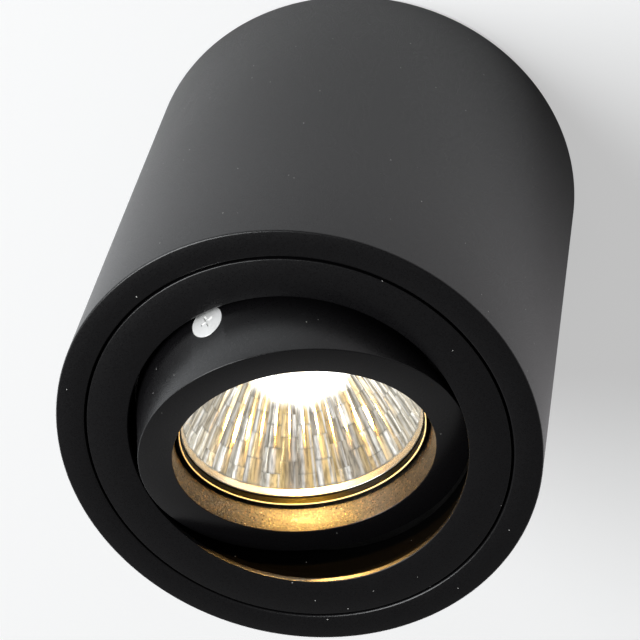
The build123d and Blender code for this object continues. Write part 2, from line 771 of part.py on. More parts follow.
# The lampholder's two keyhole slots curve about its axis, along the tilt axis when locked.
holder_plane = ring_frame.offset(holder_front)
rear_plane = ring_frame.offset(holder_rear)
lock_angles = (90, 270)
half_spacing = pin_spacing / 2
lead_hole_offset = half_spacing + lead_hole_reach
lock_arcs = [CenterArc((0, 0), half_spacing, angle - twist, twist) for angle in lock_angles]

with BuildPart() as lampholder:
    with BuildSketch(holder_plane):
        Circle(holder_radius)
    extrude(amount=holder_height)
    holder_rims = lampholder.edges().filter_by(GeomType.CIRCLE)
    chamfer(holder_rims, length=holder_chamfer)
    with BuildSketch(holder_plane.offset(holder_cover)):
        for angle, arc in zip(lock_angles, lock_arcs):
            SlotArc(arc, 2 * cavity_radius)
            with PolarLocations(lead_hole_offset - crimp_inset, 1, start_angle=angle):
                Rectangle(2 * (crimp_radius + crimp_side_gap), 2 * (crimp_radius + loose_gap))
    extrude(amount=cavity_depth, mode=Mode.SUBTRACT)
    with BuildSketch(holder_plane):
        for angle, arc in zip(lock_angles, lock_arcs):
            SlotArc(arc, slot_width)
            with PolarLocations(half_spacing, 1, start_angle=angle - twist):
                Circle(entry_radius)
            with PolarLocations(holder_screw_offset, 1, start_angle=angle + 90):
                Circle(holder_screw_head_radius + holder_head_gap)
    extrude(amount=holder_cover, mode=Mode.SUBTRACT)
    with BuildSketch(holder_plane):
        with Locations((holder_screw_offset, 0), (-holder_screw_offset, 0)):
            Circle(holder_screw_radius + 2 * pin_gap)
    extrude(amount=holder_height, mode=Mode.SUBTRACT)
    with BuildSketch(rear_plane):
        with Locations((0, lead_hole_offset), (0, -lead_hole_offset)):
            Circle(lead_radius + loose_gap)
    extrude(amount=-holder_height + holder_cover + cavity_depth, mode=Mode.SUBTRACT)
lampholder.part.label = "lampholder"

lamp_pin_tip = holder_cover + loose_gap + lamp_pin_head_height
contact_height = lamp_pin_tip + 2 * flat_gap
with BuildPart() as holder_contacts:
    for turn in (1, -1):
        with BuildSketch(holder_plane.offset(contact_height)):
            with Locations((0, turn * (half_spacing + contact_offset))):
                Rectangle(contact_width, 2 * (cavity_radius - loose_gap))
        extrude(amount=contact_thickness)
        with BuildSketch(holder_plane.offset(contact_height + contact_thickness)):
            with Locations((0, turn * lead_hole_offset)):
                Circle(crimp_radius)
        extrude(amount=crimp_length)
holder_contacts.part.label = "holder_contacts"

with BuildPart() as holder_screws:
    with BuildSketch(holder_plane.offset(holder_cover - holder_screw_head_height)):
        with Locations((holder_screw_offset, 0), (-holder_screw_offset, 0)):
            Circle(holder_screw_head_radius)
    extrude(amount=holder_screw_head_height)
    with BuildSketch(holder_plane.offset(holder_cover)):
        with Locations((holder_screw_offset, 0), (-holder_screw_offset, 0)):
            Circle(holder_screw_radius)
    extrude(amount=holder_height - holder_cover + strap_thickness + holder_nut_height + thread_end)
    with BuildSketch(holder_plane.offset(holder_cover - holder_screw_head_height)):
        with Locations((holder_screw_offset, 0), (-holder_screw_offset, 0)):
            Rectangle(3 * holder_screw_head_radius, drive_width)
    extrude(amount=drive_depth, mode=Mode.SUBTRACT)
holder_screws.part.label = "holder_screws"

with BuildPart() as holder_nuts:
    with BuildSketch(rear_plane.offset(strap_thickness)):
        with Locations((holder_screw_offset, 0), (-holder_screw_offset, 0)):
            RegularPolygon(radius=holder_nut_width / 2, side_count=6, major_radius=False)
            Circle(holder_screw_radius + pin_gap, mode=Mode.SUBTRACT)
    extrude(amount=holder_nut_height)
holder_nuts.part.label = "holder_nuts"

# Two leads leave the terminal block, turn down under it and drop into the back of the lampholder.
lead_end = contact_height + contact_thickness + crimp_length + flat_gap - holder_height
lead_routes = []
for turn, pole_y, drift in ((-1, pole_ys[0], -3.0), (1, pole_ys[1], 3.0)):
    hole = turn * lead_hole_offset
    lead_routes.append(
        [
            Vector(block_face, pole_y, pole_z),
            Vector(block_face + 6.5, pole_y, pole_z - 1.0),
            Vector(block_face + 7.0, pole_y - 1.0, tower_z - 4.0),
            Vector(block_x, pole_y - 3.0, tower_z - 8.0),
            Vector(block_x - 17.0, pole_y - 5.0 + drift, tower_z - 7.0),
            place(rear_plane, 9.0, hole, 16.0),
            place(rear_plane, 0.5, hole, 11.0),
            place(rear_plane, 0, hole, lead_end),
        ]
    )
with BuildPart() as lamp_leads:
    for route in lead_routes:
        with BuildLine() as lead_path:
            FilletPolyline(*route, radius=bend_radii(route))
        with BuildSketch(Plane(origin=lead_path.line @ 0, z_dir=lead_path.line % 0)):
            Circle(lead_radius)
        sweep(path=lead_path.line)
        with BuildSketch(Plane.YZ.offset(block_face + pin_gap)):
            with Locations((route[0].Y, pole_z)):
                Circle(conductor_radius)
        extrude(amount=-conductor_length)
lamp_leads.part.label = "lamp_leads"

# ---------------------------------------------------------------------------------------------
# Lamp
# ---------------------------------------------------------------------------------------------
# The mirror is a paraboloid cut into flat facets: columns round the axis and rows along it.
mirror_slope = (mirror_radius**2 - mirror_neck_radius**2) / (mirror_depth - mirror_start)
mirror_vertex = mirror_depth + mirror_neck_radius**2 / mirror_slope


def mirror_radius_at(depth):
    """The mirror's radius at a depth behind the lamp's front."""
    return sqrt(mirror_slope * (mirror_vertex - depth))


row_height = (mirror_radius - mirror_neck_radius) / mirror_rows
row_radii = [mirror_radius - row_height * row for row in range(mirror_rows + 1)]
row_depths = [mirror_vertex - radius**2 / mirror_slope for radius in row_radii]
neck_start = mirror_vertex - (neck_outer_radius - glass_wall) ** 2 / mirror_slope
shell_step = (neck_start - lamp_rim_thickness) / shell_steps
shell_depths = [lamp_rim_thickness + shell_step * step for step in range(shell_steps + 1)]
shell_points = [(mirror_radius_at(depth) + glass_wall, depth) for depth in shell_depths]

with BuildPart() as lamp_reflector:
    with BuildSketch(section(lamp_frame)):
        with BuildLine():
            Polyline(
                shell_points[0],
                (lamp_radius, lamp_rim_thickness),
                (lamp_radius, 0),
                (0, 0),
                (0, neck_end),
                (neck_outer_radius, neck_end),
                shell_points[-1],
            )
            Spline(*shell_points)
        make_face()
    revolve(axis=lamp_axis)
    rim = lamp_reflector.edges().filter_by(GeomType.CIRCLE).group_by(lamp_axis)[0]
    fillet(rim, radius=lamp_rim_fillet)
    for radius, depth in zip(row_radii, row_depths):
        with BuildSketch(lamp_frame.offset(depth)):
            RegularPolygon(radius=radius, side_count=mirror_columns)
    loft(ruled=True, mode=Mode.SUBTRACT)
    with BuildSketch(lamp_frame):
        Circle(mirror_radius + glass_rebate)
    extrude(amount=mirror_start, mode=Mode.SUBTRACT)
    with BuildSketch(lamp_frame.offset(mirror_depth)):
        Circle(mirror_neck_radius)
    extrude(amount=neck_end - mirror_depth, mode=Mode.SUBTRACT)
lamp_reflector.part.label = "lamp_reflector"

with BuildPart() as lamp_front_glass:
    with BuildSketch(lamp_frame.offset(mirror_start - front_glass_thickness)):
        Circle(mirror_radius + glass_rebate - pin_gap)
    extrude(amount=front_glass_thickness)
    glass_edge = lamp_front_glass.edges().filter_by(GeomType.CIRCLE).group_by(lamp_axis)[0]
    chamfer(glass_edge, length=glass_chamfer)
lamp_front_glass.part.label = "lamp_front_glass"

pocket_end = capsule_end + pinch_length + flat_gap
with BuildPart() as lamp_base:
    with BuildSketch(section(lamp_frame)):
        with BuildLine():
            Polyline(
                (0, base_taper_end - loose_gap),
                (neck_outer_radius + flat_gap, base_taper_end - loose_gap),
                (neck_outer_radius + flat_gap, base_start),
                (base_rim_radius, base_start),
                (base_rim_radius, base_start + base_rim_height),
                (base_radius, base_taper_end),
                (base_radius, lamp_length),
                (0, lamp_length),
                close=True,
            )
        make_face()
    revolve(axis=lamp_axis)
    with BuildSketch(lamp_frame.offset(base_taper_end)):
        for turn in (1, -1):
            with Locations((turn * (base_flat + base_radius), 0)):
                Rectangle(2 * base_radius, 3 * base_radius)
    extrude(amount=lamp_length - base_taper_end, mode=Mode.SUBTRACT)
    with BuildSketch(lamp_frame.offset(base_taper_end - loose_gap)):
        Rectangle(pinch_width + 2 * pinch_gap, pinch_thickness + 2 * pinch_gap)
    extrude(amount=pocket_end - base_taper_end + loose_gap, mode=Mode.SUBTRACT)
    with BuildSketch(lamp_frame.offset(lamp_length)):
        with Locations((0, half_spacing), (0, -half_spacing)):
            Circle(lamp_pin_radius + pin_gap)
    extrude(amount=-lamp_pin_root - flat_gap, mode=Mode.SUBTRACT)
lamp_base.part.label = "lamp_base"

pin_head_start = lamp_length + loose_gap + holder_cover + loose_gap
with BuildPart() as lamp_pins:
    with BuildSketch(lamp_frame.offset(lamp_length - lamp_pin_root)):
        with Locations((0, half_spacing), (0, -half_spacing)):
            Circle(lamp_pin_radius)
    extrude(amount=pin_head_start - lamp_length + lamp_pin_root)
    with BuildSketch(lamp_frame.offset(pin_head_start)):
        with Locations((0, half_spacing), (0, -half_spacing)):
            Circle(lamp_pin_head_radius)
    extrude(amount=lamp_pin_head_height)
    head_edges = lamp_pins.edges().filter_by(GeomType.CIRCLE).group_by(lamp_axis)[-1]
    fillet(head_edges, radius=lamp_pin_head_fillet)
lamp_pins.part.label = "lamp_pins"


# The quartz capsule is a thin bulb on a flat pinch, which the filament's two legs run through.
def bulb_outline(radius, front, end):
    """Half the outline of a round-nosed bulb, as its straight points and the arc of its nose."""
    shoulder = front + radius
    on_nose = (radius * sin(radians(45)), shoulder - radius * cos(radians(45)))
    straight = [(0, front), (0, end), (radius, end), (radius, shoulder)]
    return straight, [(radius, shoulder), on_nose, (0, front)]


bulb_end = capsule_end - capsule_wall
outer_bulb = bulb_outline(capsule_radius, capsule_front, capsule_end)
inner_bulb = bulb_outline(capsule_radius - capsule_wall, capsule_front + capsule_wall, bulb_end)
with BuildPart() as lamp_capsule:
    for (straight, nose), mode in ((outer_bulb, Mode.ADD), (inner_bulb, Mode.SUBTRACT)):
        with BuildSketch(section(lamp_frame)):
            with BuildLine():
                Polyline(*straight)
                ThreePointArc(*nose)
            make_face()
        revolve(axis=lamp_axis, mode=mode)
    with BuildSketch(lamp_frame.offset(capsule_end)):
        Rectangle(pinch_width, pinch_thickness)
    extrude(amount=pinch_length)
    with BuildSketch(lamp_frame.offset(bulb_end)):
        with Locations((filament_leg_offset, 0), (-filament_leg_offset, 0)):
            Circle(filament_leg_radius + pin_gap)
    extrude(amount=capsule_wall + pinch_length, mode=Mode.SUBTRACT)
lamp_capsule.part.label = "lamp_capsule"

filament_middle = filament_front + filament_radius
with BuildPart() as lamp_filament:
    with BuildSketch(side(lamp_frame, 0, filament_middle, -filament_length / 2)):
        Circle(filament_radius)
    extrude(amount=filament_length)
    with BuildSketch(lamp_frame.offset(filament_middle)):
        with Locations((filament_leg_offset, 0), (-filament_leg_offset, 0)):
            Circle(filament_leg_radius)
    extrude(amount=capsule_end + pinch_length - filament_middle)
lamp_filament.part.label = "lamp_filament"

for route in (earth_route, *lead_routes):
    print("bends of a lead:", [round(radius, 2) for radius in bend_radii(route)])

export_step(housing_tube.part, "parts/housing_tube.step")
export_step(mounting_plate.part, "parts/mounting_plate.step")
export_step(cable_grommet.part, "parts/cable_grommet.step")
export_step(tube_screws.part, "parts/tube_screws.step")
export_step(terminal_block.part, "parts/terminal_block.step")
export_step(terminal_tubes.part, "parts/terminal_tubes.step")
export_step(terminal_screws.part, "parts/terminal_screws.step")
export_step(terminal_fixing_screws.part, "parts/terminal_fixing_screws.step")
export_step(earth_stud.part, "parts/earth_stud.step")
export_step(earth_washer.part, "parts/earth_washer.step")
export_step(earth_eyelet.part, "parts/earth_eyelet.step")
export_step(earth_nut.part, "parts/earth_nut.step")
export_step(earth_lead.part, "parts/earth_lead.step")
export_step(trim_ring.part, "parts/trim_ring.step")
export_step(trim_springs.part, "parts/trim_springs.step")
export_step(spring_rivets.part, "parts/spring_rivets.step")
export_step(pivot_pins.part, "parts/pivot_pins.step")
export_step(friction_washers.part, "parts/friction_washers.step")
export_step(tilt_ring.part, "parts/tilt_ring.step")
export_step(holder_strap.part, "parts/holder_strap.step")
export_step(strap_screws.part, "parts/strap_screws.step")
export_step(lampholder.part, "parts/lampholder.step")
export_step(holder_contacts.part, "parts/holder_contacts.step")
export_step(holder_screws.part, "parts/holder_screws.step")
export_step(holder_nuts.part, "parts/holder_nuts.step")
export_step(lamp_leads.part, "parts/lamp_leads.step")
export_step(lamp_reflector.part, "parts/lamp_reflector.step")
export_step(lamp_front_glass.part, "parts/lamp_front_glass.step")
export_step(lamp_capsule.part, "parts/lamp_capsule.step")
export_step(lamp_filament.part, "parts/lamp_filament.step")
export_step(lamp_base.part, "parts/lamp_base.step")
export_step(lamp_pins.part, "parts/lamp_pins.step")
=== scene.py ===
"""The looks of a surface mounted ceiling spotlight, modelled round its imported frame.

The housing hangs below a pale ceiling.  A trim turns in its front, a ring tilts in the trim and a
lit reflector lamp looks out of the ring.  Lengths in the classes are in millimetres, apart from the
studio's places and softboxes, which are in metres.
"""

import json
import logging
from dataclasses import dataclass
from enum import Enum
from math import cos, pi, radians, sin, sqrt, tan, tau
from typing import Any, Callable, Iterable, Sequence

import bmesh
import bpy
from mathutils import Matrix, Vector


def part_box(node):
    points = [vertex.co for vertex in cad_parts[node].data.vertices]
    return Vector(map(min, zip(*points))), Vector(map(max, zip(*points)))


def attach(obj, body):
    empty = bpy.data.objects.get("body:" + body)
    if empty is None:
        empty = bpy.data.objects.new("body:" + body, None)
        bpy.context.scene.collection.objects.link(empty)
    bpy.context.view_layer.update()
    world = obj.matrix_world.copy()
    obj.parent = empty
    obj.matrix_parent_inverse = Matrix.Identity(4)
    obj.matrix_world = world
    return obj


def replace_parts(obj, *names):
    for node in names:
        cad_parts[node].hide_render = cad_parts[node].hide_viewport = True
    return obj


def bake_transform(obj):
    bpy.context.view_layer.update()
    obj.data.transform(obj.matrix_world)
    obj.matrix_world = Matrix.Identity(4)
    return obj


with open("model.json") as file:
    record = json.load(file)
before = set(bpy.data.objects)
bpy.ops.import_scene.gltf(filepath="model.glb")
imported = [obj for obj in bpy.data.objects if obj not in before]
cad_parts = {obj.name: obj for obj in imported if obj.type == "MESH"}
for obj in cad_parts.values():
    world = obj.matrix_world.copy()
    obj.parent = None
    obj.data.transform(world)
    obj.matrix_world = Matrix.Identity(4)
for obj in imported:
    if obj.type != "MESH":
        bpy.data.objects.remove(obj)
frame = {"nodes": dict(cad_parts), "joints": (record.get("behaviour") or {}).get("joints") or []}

log = logging.getLogger("spotlight")
MM = 0.001
POLE = 0.004  # radius, in millimetres, that stands for a point on the axis before it is merged
MERGE = 0.01 * MM
SMOOTH_ANGLE = radians(32)
ROUND_ANGLE = radians(35)
ROUND_STEPS = 3
FLANKS = (0, 180)  # where a round piece has its two screws, in degrees from its X axis
LAMP_FRONT = -1.95  # where the lamp's front is on the tilting ring's axis

Colour = tuple[float, float, float]
Spread = tuple[float, float]  # a lowest and a highest value
Outline = Sequence[tuple[float, float]]
Piece = bpy.types.Object
Paint = bpy.types.Material
Socket = bpy.types.NodeSocket
WHITE: Colour = (1.0, 1.0, 1.0)


# --- Workshop: how pieces are shaped ---
def take(piece: Piece) -> None:
    """Select a piece alone and make it the active one.

    Args:
        piece: The piece to take.
    """
    bpy.ops.object.select_all(action="DESELECT")
    piece.select_set(True)
    bpy.context.view_layer.objects.active = piece


def edit(piece: Piece, whole: bool = True) -> None:
    """Take a piece into edit mode.

    Args:
        piece: The piece to edit.
        whole: Whether its whole mesh is selected, or nothing of it.
    """
    take(piece)
    bpy.ops.object.mode_set(mode="EDIT")
    bpy.ops.mesh.select_mode(type="VERT")
    bpy.ops.mesh.select_all(action="SELECT" if whole else "DESELECT")


def pick(piece: Piece, test: Callable[[Vector], bool]) -> None:
    """Select points of a piece in edit mode.

    Args:
        piece: The piece in edit mode.
        test: Says of a point's place whether the point is selected.
    """
    shape = bmesh.from_edit_mesh(piece.data)
    for point in shape.verts:
        point.select_set(test(point.co))
    shape.select_flush_mode()
    bmesh.update_edit_mesh(piece.data)


def mend() -> None:
    """Merge the points of the mesh in edit mode and turn its faces outwards."""
    bpy.ops.mesh.select_all(action="SELECT")
    bpy.ops.mesh.remove_doubles(threshold=MERGE)
    bpy.ops.mesh.normals_make_consistent(inside=False)


def done(piece: Piece) -> Piece:
    """Leave edit mode."""
    bpy.ops.object.mode_set(mode="OBJECT")
    return piece


def fresh(name: str) -> Piece:
    """Name the primitive that was just added, and put its place into its mesh.

    Args:
        name: Name of the piece.

    Returns:
        The piece.
    """
    piece = bpy.context.active_object
    piece.name = name
    piece.data.name = name
    bpy.ops.object.transform_apply(location=True, rotation=True, scale=True)
    return piece


def linked(name: str, data: bpy.types.ID) -> Piece:
    """Add an object to the scene.

    Args:
        name: Name of the object.
        data: Its mesh, light or camera.

    Returns:
        The object.
    """
    item = bpy.data.objects.new(name, data)
    bpy.context.scene.collection.objects.link(item)
    return item


def apply_modifier(piece: Piece, kind: str, **settings: Any) -> Piece:
    """Add a modifier with its settings to a piece and apply it.

    Args:
        piece: The piece to change.
        kind: Blender's name of the modifier.
        **settings: The modifier's own settings.

    Returns:
        The same piece.
    """
    take(piece)
    bpy.ops.object.modifier_add(type=kind)
    modifier = piece.modifiers[-1]
    for setting, value in settings.items():
        setattr(modifier, setting, value)
    bpy.ops.object.modifier_apply(modifier=modifier.name)
    return piece


def rounded(piece: Piece, width: float) -> Piece:
    """Round a piece's sharp edges, with the new faces in its second material slot."""
    return apply_modifier(piece, "BEVEL", width=width * MM, segments=ROUND_STEPS,
                          limit_method="ANGLE", angle_limit=ROUND_ANGLE, material=1)


def smooth(piece: Piece) -> Piece:
    """Shade a piece smooth, with its sharp edges kept.

    Args:
        piece: The piece to shade.

    Returns:
        The same piece.
    """
    take(piece)
    bpy.ops.object.shade_smooth_by_angle(angle=SMOOTH_ANGLE)
    return piece


def turned(name: str, outline: Outline, sides: int, closed: bool = True) -> Piece:
    """Model a round piece by drawing a circle along an outline.

    Args:
        name: Name of the piece.
        outline: Radius and height of each corner; a radius of 0 is on the axis.
        sides: How many sides the circle has.
        closed: Whether the last corner is joined to the first.

    Returns:
        The piece, about the Z axis.
    """
    path = [(max(radius, POLE) * MM, height * MM) for radius, height in outline]
    radius, height = path[0]
    bpy.ops.object.select_all(action="DESELECT")
    bpy.ops.mesh.primitive_circle_add(vertices=sides, radius=radius, location=(0, 0, height))
    piece = fresh(name)
    edit(piece)
    if closed:
        path.append(path[0])
    for (radius, height), (next_radius, next_height) in zip(path, path[1:]):
        bpy.ops.mesh.extrude_edges_move(
            TRANSFORM_OT_translate={"value": (0, 0, next_height - height)})
        ratio = next_radius / radius
        bpy.ops.transform.resize(value=(ratio, ratio, 1), center_override=(0, 0, 0))
    mend()
    return done(piece)


def block(name: str, size: tuple[float, float, float]) -> Piece:
    """Model a plain box about the origin.

    Args:
        name: Name of the piece.
        size: Its three lengths, in millimetres.

    Returns:
        The piece.
    """
    bpy.ops.object.select_all(action="DESELECT")
    bpy.ops.mesh.primitive_cube_add(size=MM, location=(0, 0, 0), scale=size)
    return fresh(name)


def traced(node: str, name: str) -> Piece:
    """Start a piece from a merged copy of a CAD node's mesh.

    Args:
        node: Name of the node.
        name: Name of the piece.

    Returns:
        The piece.
    """
    source = frame["nodes"][node]
    mesh = source.data.copy()
    mesh.transform(source.matrix_world)
    piece = linked(name, mesh)
    edit(piece)
    mend()
    bpy.ops.mesh.customdata_custom_splitnormals_clear()
    return done(piece)


def trimmed(piece: Piece, point: Vector, outwards: Vector) -> Piece:
    """Cut away what is outside a plane and close the cut.

    Args:
        piece: The piece to cut.
        point: A point on the plane, in metres.
        outwards: The direction of the part that goes.

    Returns:
        The same piece.
    """
    edit(piece)
    bpy.ops.mesh.bisect(plane_co=point, plane_no=outwards, use_fill=True, clear_outer=True)
    return done(piece)


def cut(piece: Piece, tool: Piece) -> None:
    """Cut a piece with a tool and clear the tool away."""
    apply_modifier(piece, "BOOLEAN", operation="DIFFERENCE", object=tool, solver="EXACT")
    bpy.data.objects.remove(tool)


def joined(name: str, pieces: Sequence[Piece]) -> Piece:
    """Join pieces into the first of them.

    Args:
        name: Name of the whole.
        pieces: The pieces to join.

    Returns:
        The first piece, with the others' meshes in its own.
    """
    take(pieces[0])
    for piece in pieces:
        piece.select_set(True)
    bpy.ops.object.join()
    pieces[0].name = name
    pieces[0].data.name = name
    return pieces[0]


def finish(piece: Piece, *materials: Paint) -> Piece:
    """Give a piece its materials.

    Args:
        piece: The piece.
        *materials: The material of each of its slots, in their order.

    Returns:
        The same piece.
    """
    piece.data.materials.clear()
    for material in materials:
        piece.data.materials.append(material)
    return piece


def put(piece: Piece, place: Matrix) -> Piece:
    """Move a piece's mesh, with its object left at the origin.

    Args:
        piece: The piece to move.
        place: The matrix that moves it.

    Returns:
        The same piece.
    """
    piece.data.transform(place)
    piece.data.update()
    return piece


def side(place: Matrix, angle: float, height: float, reach: float) -> Matrix:
    """Find the place on a round piece's wall whose Z axis points outwards.

    Args:
        place: The round piece's own axes.
        angle: Where on the wall, in degrees from its X axis.
        height: Along its Z axis.
        reach: Out from that axis.

    Returns:
        The matrix of that place.
    """
    turn = Matrix.Rotation(radians(angle), 4, "Z")
    lift = Matrix.Translation((reach * MM, 0, height * MM))
    return place @ turn @ lift @ Matrix.Rotation(pi / 2, 4, "Y")


@dataclass(frozen=True)
class Countersink:
    """A countersunk hole; its mouth is the cone's radius 1 mm outside the wall."""

    mouth: float
    hole: float
    sink: float
    depth: float
    sides: int

    def cut_into(self, piece: Piece, height: float, reach: float) -> None:
        """Cut the hole into both flanks of a round piece that stands about the Z axis.

        Args:
            piece: The piece to cut.
            height: The holes' place along the axis.
            reach: How far out from the axis the wall is.
        """
        outline = [(0, 1), (self.mouth, 1), (self.hole, -self.sink), (self.hole, -self.depth),
                   (0, -self.depth)]
        for angle in FLANKS:
            tool = turned("countersink", outline, self.sides, closed=False)
            cut(piece, put(tool, side(Matrix(), angle, height, reach)))


# --- Finishes ---
class Mixing(Enum):
    """How a second colour meets the first."""

    OVER = "MIX"
    TIMES = "MULTIPLY"


def shaded(colour: Colour, factor: float) -> Colour:
    """A colour made darker or lighter."""
    return tuple(factor * part for part in colour)


class Tree:
    """A node tree, with short ways to add to it."""

    def __init__(self, owner: bpy.types.ID) -> None:
        """Empty a node tree.

        Args:
            owner: The material or world that has it.
        """
        owner.use_nodes = True
        self.nodes = owner.node_tree.nodes
        self.links = owner.node_tree.links
        self.nodes.clear()

    def add(self, kind: str, inputs: dict[Any, Any] | None = None,
            **settings: Any) -> bpy.types.Node:
        """Add a node.

        Args:
            kind: The node's type, without its ShaderNode prefix.
            inputs: Value or linked output for each of its inputs.
            **settings: The node's own settings.

        Returns:
            The node.
        """
        node = self.nodes.new("ShaderNode" + kind)
        for setting, value in settings.items():
            setattr(node, setting, value)
        for socket, value in (inputs or {}).items():
            self.feed(node.inputs[socket], value)
        return node

    def feed(self, socket: Socket, value: Any) -> None:
        """Link an output to a socket, or set the socket's own value.

        Args:
            socket: The input to feed.
            value: The output, or the value.
        """
        if isinstance(value, Socket):
            self.links.new(value, socket)
        elif isinstance(value, tuple) and len(value) == 3 and socket.type == "RGBA":
            socket.default_value = (*value, 1)
        else:
            socket.default_value = value

    def maths(self, kind: str, *values: Any, clamp: bool = False) -> Socket:
        """The result of a sum on numbers."""
        inputs = dict(enumerate(values))
        return self.add("Math", inputs, operation=kind, use_clamp=clamp).outputs[0]

    def times(self, first: Any, second: Any) -> Socket:
        """One number times another."""
        return self.maths("MULTIPLY", first, second)

    def span(self, value: Any, low: float, high: float, to_low: Any, to_high: Any) -> Socket:
        """A number carried from one range to another, held at its ends."""
        inputs = {"Value": value, "From Min": low, "From Max": high,
                  "To Min": to_low, "To Max": to_high}
        return self.add("MapRange", inputs).outputs["Result"]


class Sheet(Tree):
    """A material's node tree, with one shader that carries its finish."""

    def __init__(self, name: str) -> None:
        """Start a material.

        Args:
            name: Name of the material.
        """
        self.material = bpy.data.materials.new(name)
        super().__init__(self.material)
        self.shader = self.nodes.new("ShaderNodeBsdfPrincipled")
        self.out = self.nodes.new("ShaderNodeOutputMaterial")
        self.links.new(self.shader.outputs["BSDF"], self.out.inputs["Surface"])

    def set(self, **inputs: Any) -> None:
        """Feed the shader's inputs, named with _ for each space."""
        for socket, value in inputs.items():
            self.feed(self.shader.inputs[socket.replace("_", " ").title()], value)

    def show(self, node: bpy.types.Node) -> None:
        """Let a node's first output be the surface."""
        self.links.new(node.outputs[0], self.out.inputs["Surface"])

    def place(self) -> Socket:
        """The point on the object, in its own coordinates."""
        return self.add("TexCoord").outputs["Object"]

    def noise(self, size: float, detail: float, place: Any = None) -> Socket:
        """Noise whose features have a size in millimetres."""
        inputs = {"Vector": place or self.place(), "Scale": 1 / (size * MM), "Detail": detail}
        return self.add("TexNoise", inputs).outputs["Fac"]

    def cells(self, size: float) -> Any:
        """The outputs of a pattern of cells with a size in millimetres."""
        return self.add("TexVoronoi", {"Vector": self.place(), "Scale": 1 / (size * MM)}).outputs

    def follow(self, noise: Socket, low: float, high: float) -> Socket:
        """A number that follows a noise over the range where most of it is."""
        return self.span(noise, 0.3, 0.7, low, high)

    def blend(self, share: Any, first: Any, second: Any, how: Mixing = Mixing.OVER) -> Socket:
        """Mix two colours.

        Args:
            share: How much of the second colour there is.
            first: The colour to start from.
            second: The colour that comes to it.
            how: How they meet.

        Returns:
            The mixed colour.
        """
        node = self.add("Mix", data_type="RGBA", blend_type=how.value)
        sockets = (node.inputs[0], node.inputs[6], node.inputs[7])
        for socket, value in zip(sockets, (share, first, second)):
            self.feed(socket, value)
        return node.outputs[2]

    def relief(self, height: Any, depth: float, under: Any = None) -> Socket:
        """Raise a bump.

        Args:
            height: How high each place is, from 0 to 1.
            depth: The height of 1, in millimetres.
            under: Another bump that this one lies on.

        Returns:
            The bumped normal.
        """
        inputs = {"Height": height, "Distance": depth * MM, "Strength": 1.0}
        if under is not None:
            inputs["Normal"] = under
        return self.add("Bump", inputs).outputs["Normal"]


@dataclass(frozen=True)
class PowderCoat:
    """A baked powder coat: fine orange peel, a sandy grain and a few specks of dust; where asked,
    painted glints of warm light on its grains.
    """

    name: str
    colour: Colour = (0.0045, 0.0042, 0.0048)
    contrast: float = 0.35
    grain: float = 0.22
    grain_depth: float = 0.010
    peel: float = 1.6
    roughness: float = 0.31
    swing: float = 0.06
    level: float = 0.5
    painted_glint_share: float = 0.0
    painted_glint_start: float = 0.62
    painted_glint: Colour = (0.28, 0.18, 0.09)
    painted_glint_size: float = 1.1
    dust: Colour = (0.60, 0.59, 0.57)
    dust_spacing: float = 3.6
    dust_radius: float = 0.12

    def material(self) -> Paint:
        """Build the coat's material.

        Returns:
            The material.
        """
        sheet = Sheet(self.name)
        grain = sheet.noise(self.grain, 3.0)
        peel = sheet.relief(sheet.noise(self.peel, 1.0), 0.5 * self.grain_depth)
        shade = sheet.blend(grain, shaded(self.colour, 1 - self.contrast),
                            shaded(self.colour, 1 + self.contrast))
        # Painted glints: warm flecks that stand in for lamp light caught on the grains
        if self.painted_glint_share:
            painted_glint = sheet.cells(self.painted_glint_size * self.grain)["Color"]
            light = sheet.span(painted_glint, self.painted_glint_start, 1.0, 0.0, self.painted_glint_share)
            shade = sheet.blend(light, shade, self.painted_glint)
        speck = sheet.maths("LESS_THAN", sheet.cells(self.dust_spacing)["Distance"],
                            self.dust_radius / self.dust_spacing)
        sheet.set(
            base_color=sheet.blend(speck, shade, self.dust),
            roughness=sheet.follow(grain, self.roughness - self.swing, self.roughness + self.swing),
            normal=sheet.relief(grain, self.grain_depth, peel),
        )
        sheet.shader.inputs["Specular IOR Level"].default_value = self.level
        return sheet.material


@dataclass(frozen=True)
class Metal:
    """A plated or turned metal with fine scratches and a little tarnish."""

    name: str
    colour: Colour
    roughness: float = 0.25
    tarnish: Colour = (0.35, 0.33, 0.30)
    metallic: float = 1.0
    stain: float = 4.0
    stain_share: float = 0.55
    scratch: float = 0.12
    scratch_depth: float = 0.004
    stretch: tuple[float, float, float] = (1.0, 1.0, 6.0)

    def material(self) -> Paint:
        """Build the metal's material.

        Returns:
            The material.
        """
        sheet = Sheet(self.name)
        drawn = sheet.add("Mapping", {"Vector": sheet.place(), "Scale": self.stretch})
        scratches = sheet.noise(self.scratch, 4.0, drawn.outputs["Vector"])
        stain = sheet.span(sheet.noise(self.stain, 3.0), 0.45, 0.75, 0.0, self.stain_share)
        sheet.set(
            base_color=sheet.blend(stain, self.colour, self.tarnish),
            roughness=sheet.follow(scratches, 0.75 * self.roughness, 1.35 * self.roughness),
            normal=sheet.relief(scratches, self.scratch_depth),
        )
        sheet.shader.inputs["Metallic"].default_value = self.metallic
        return sheet.material


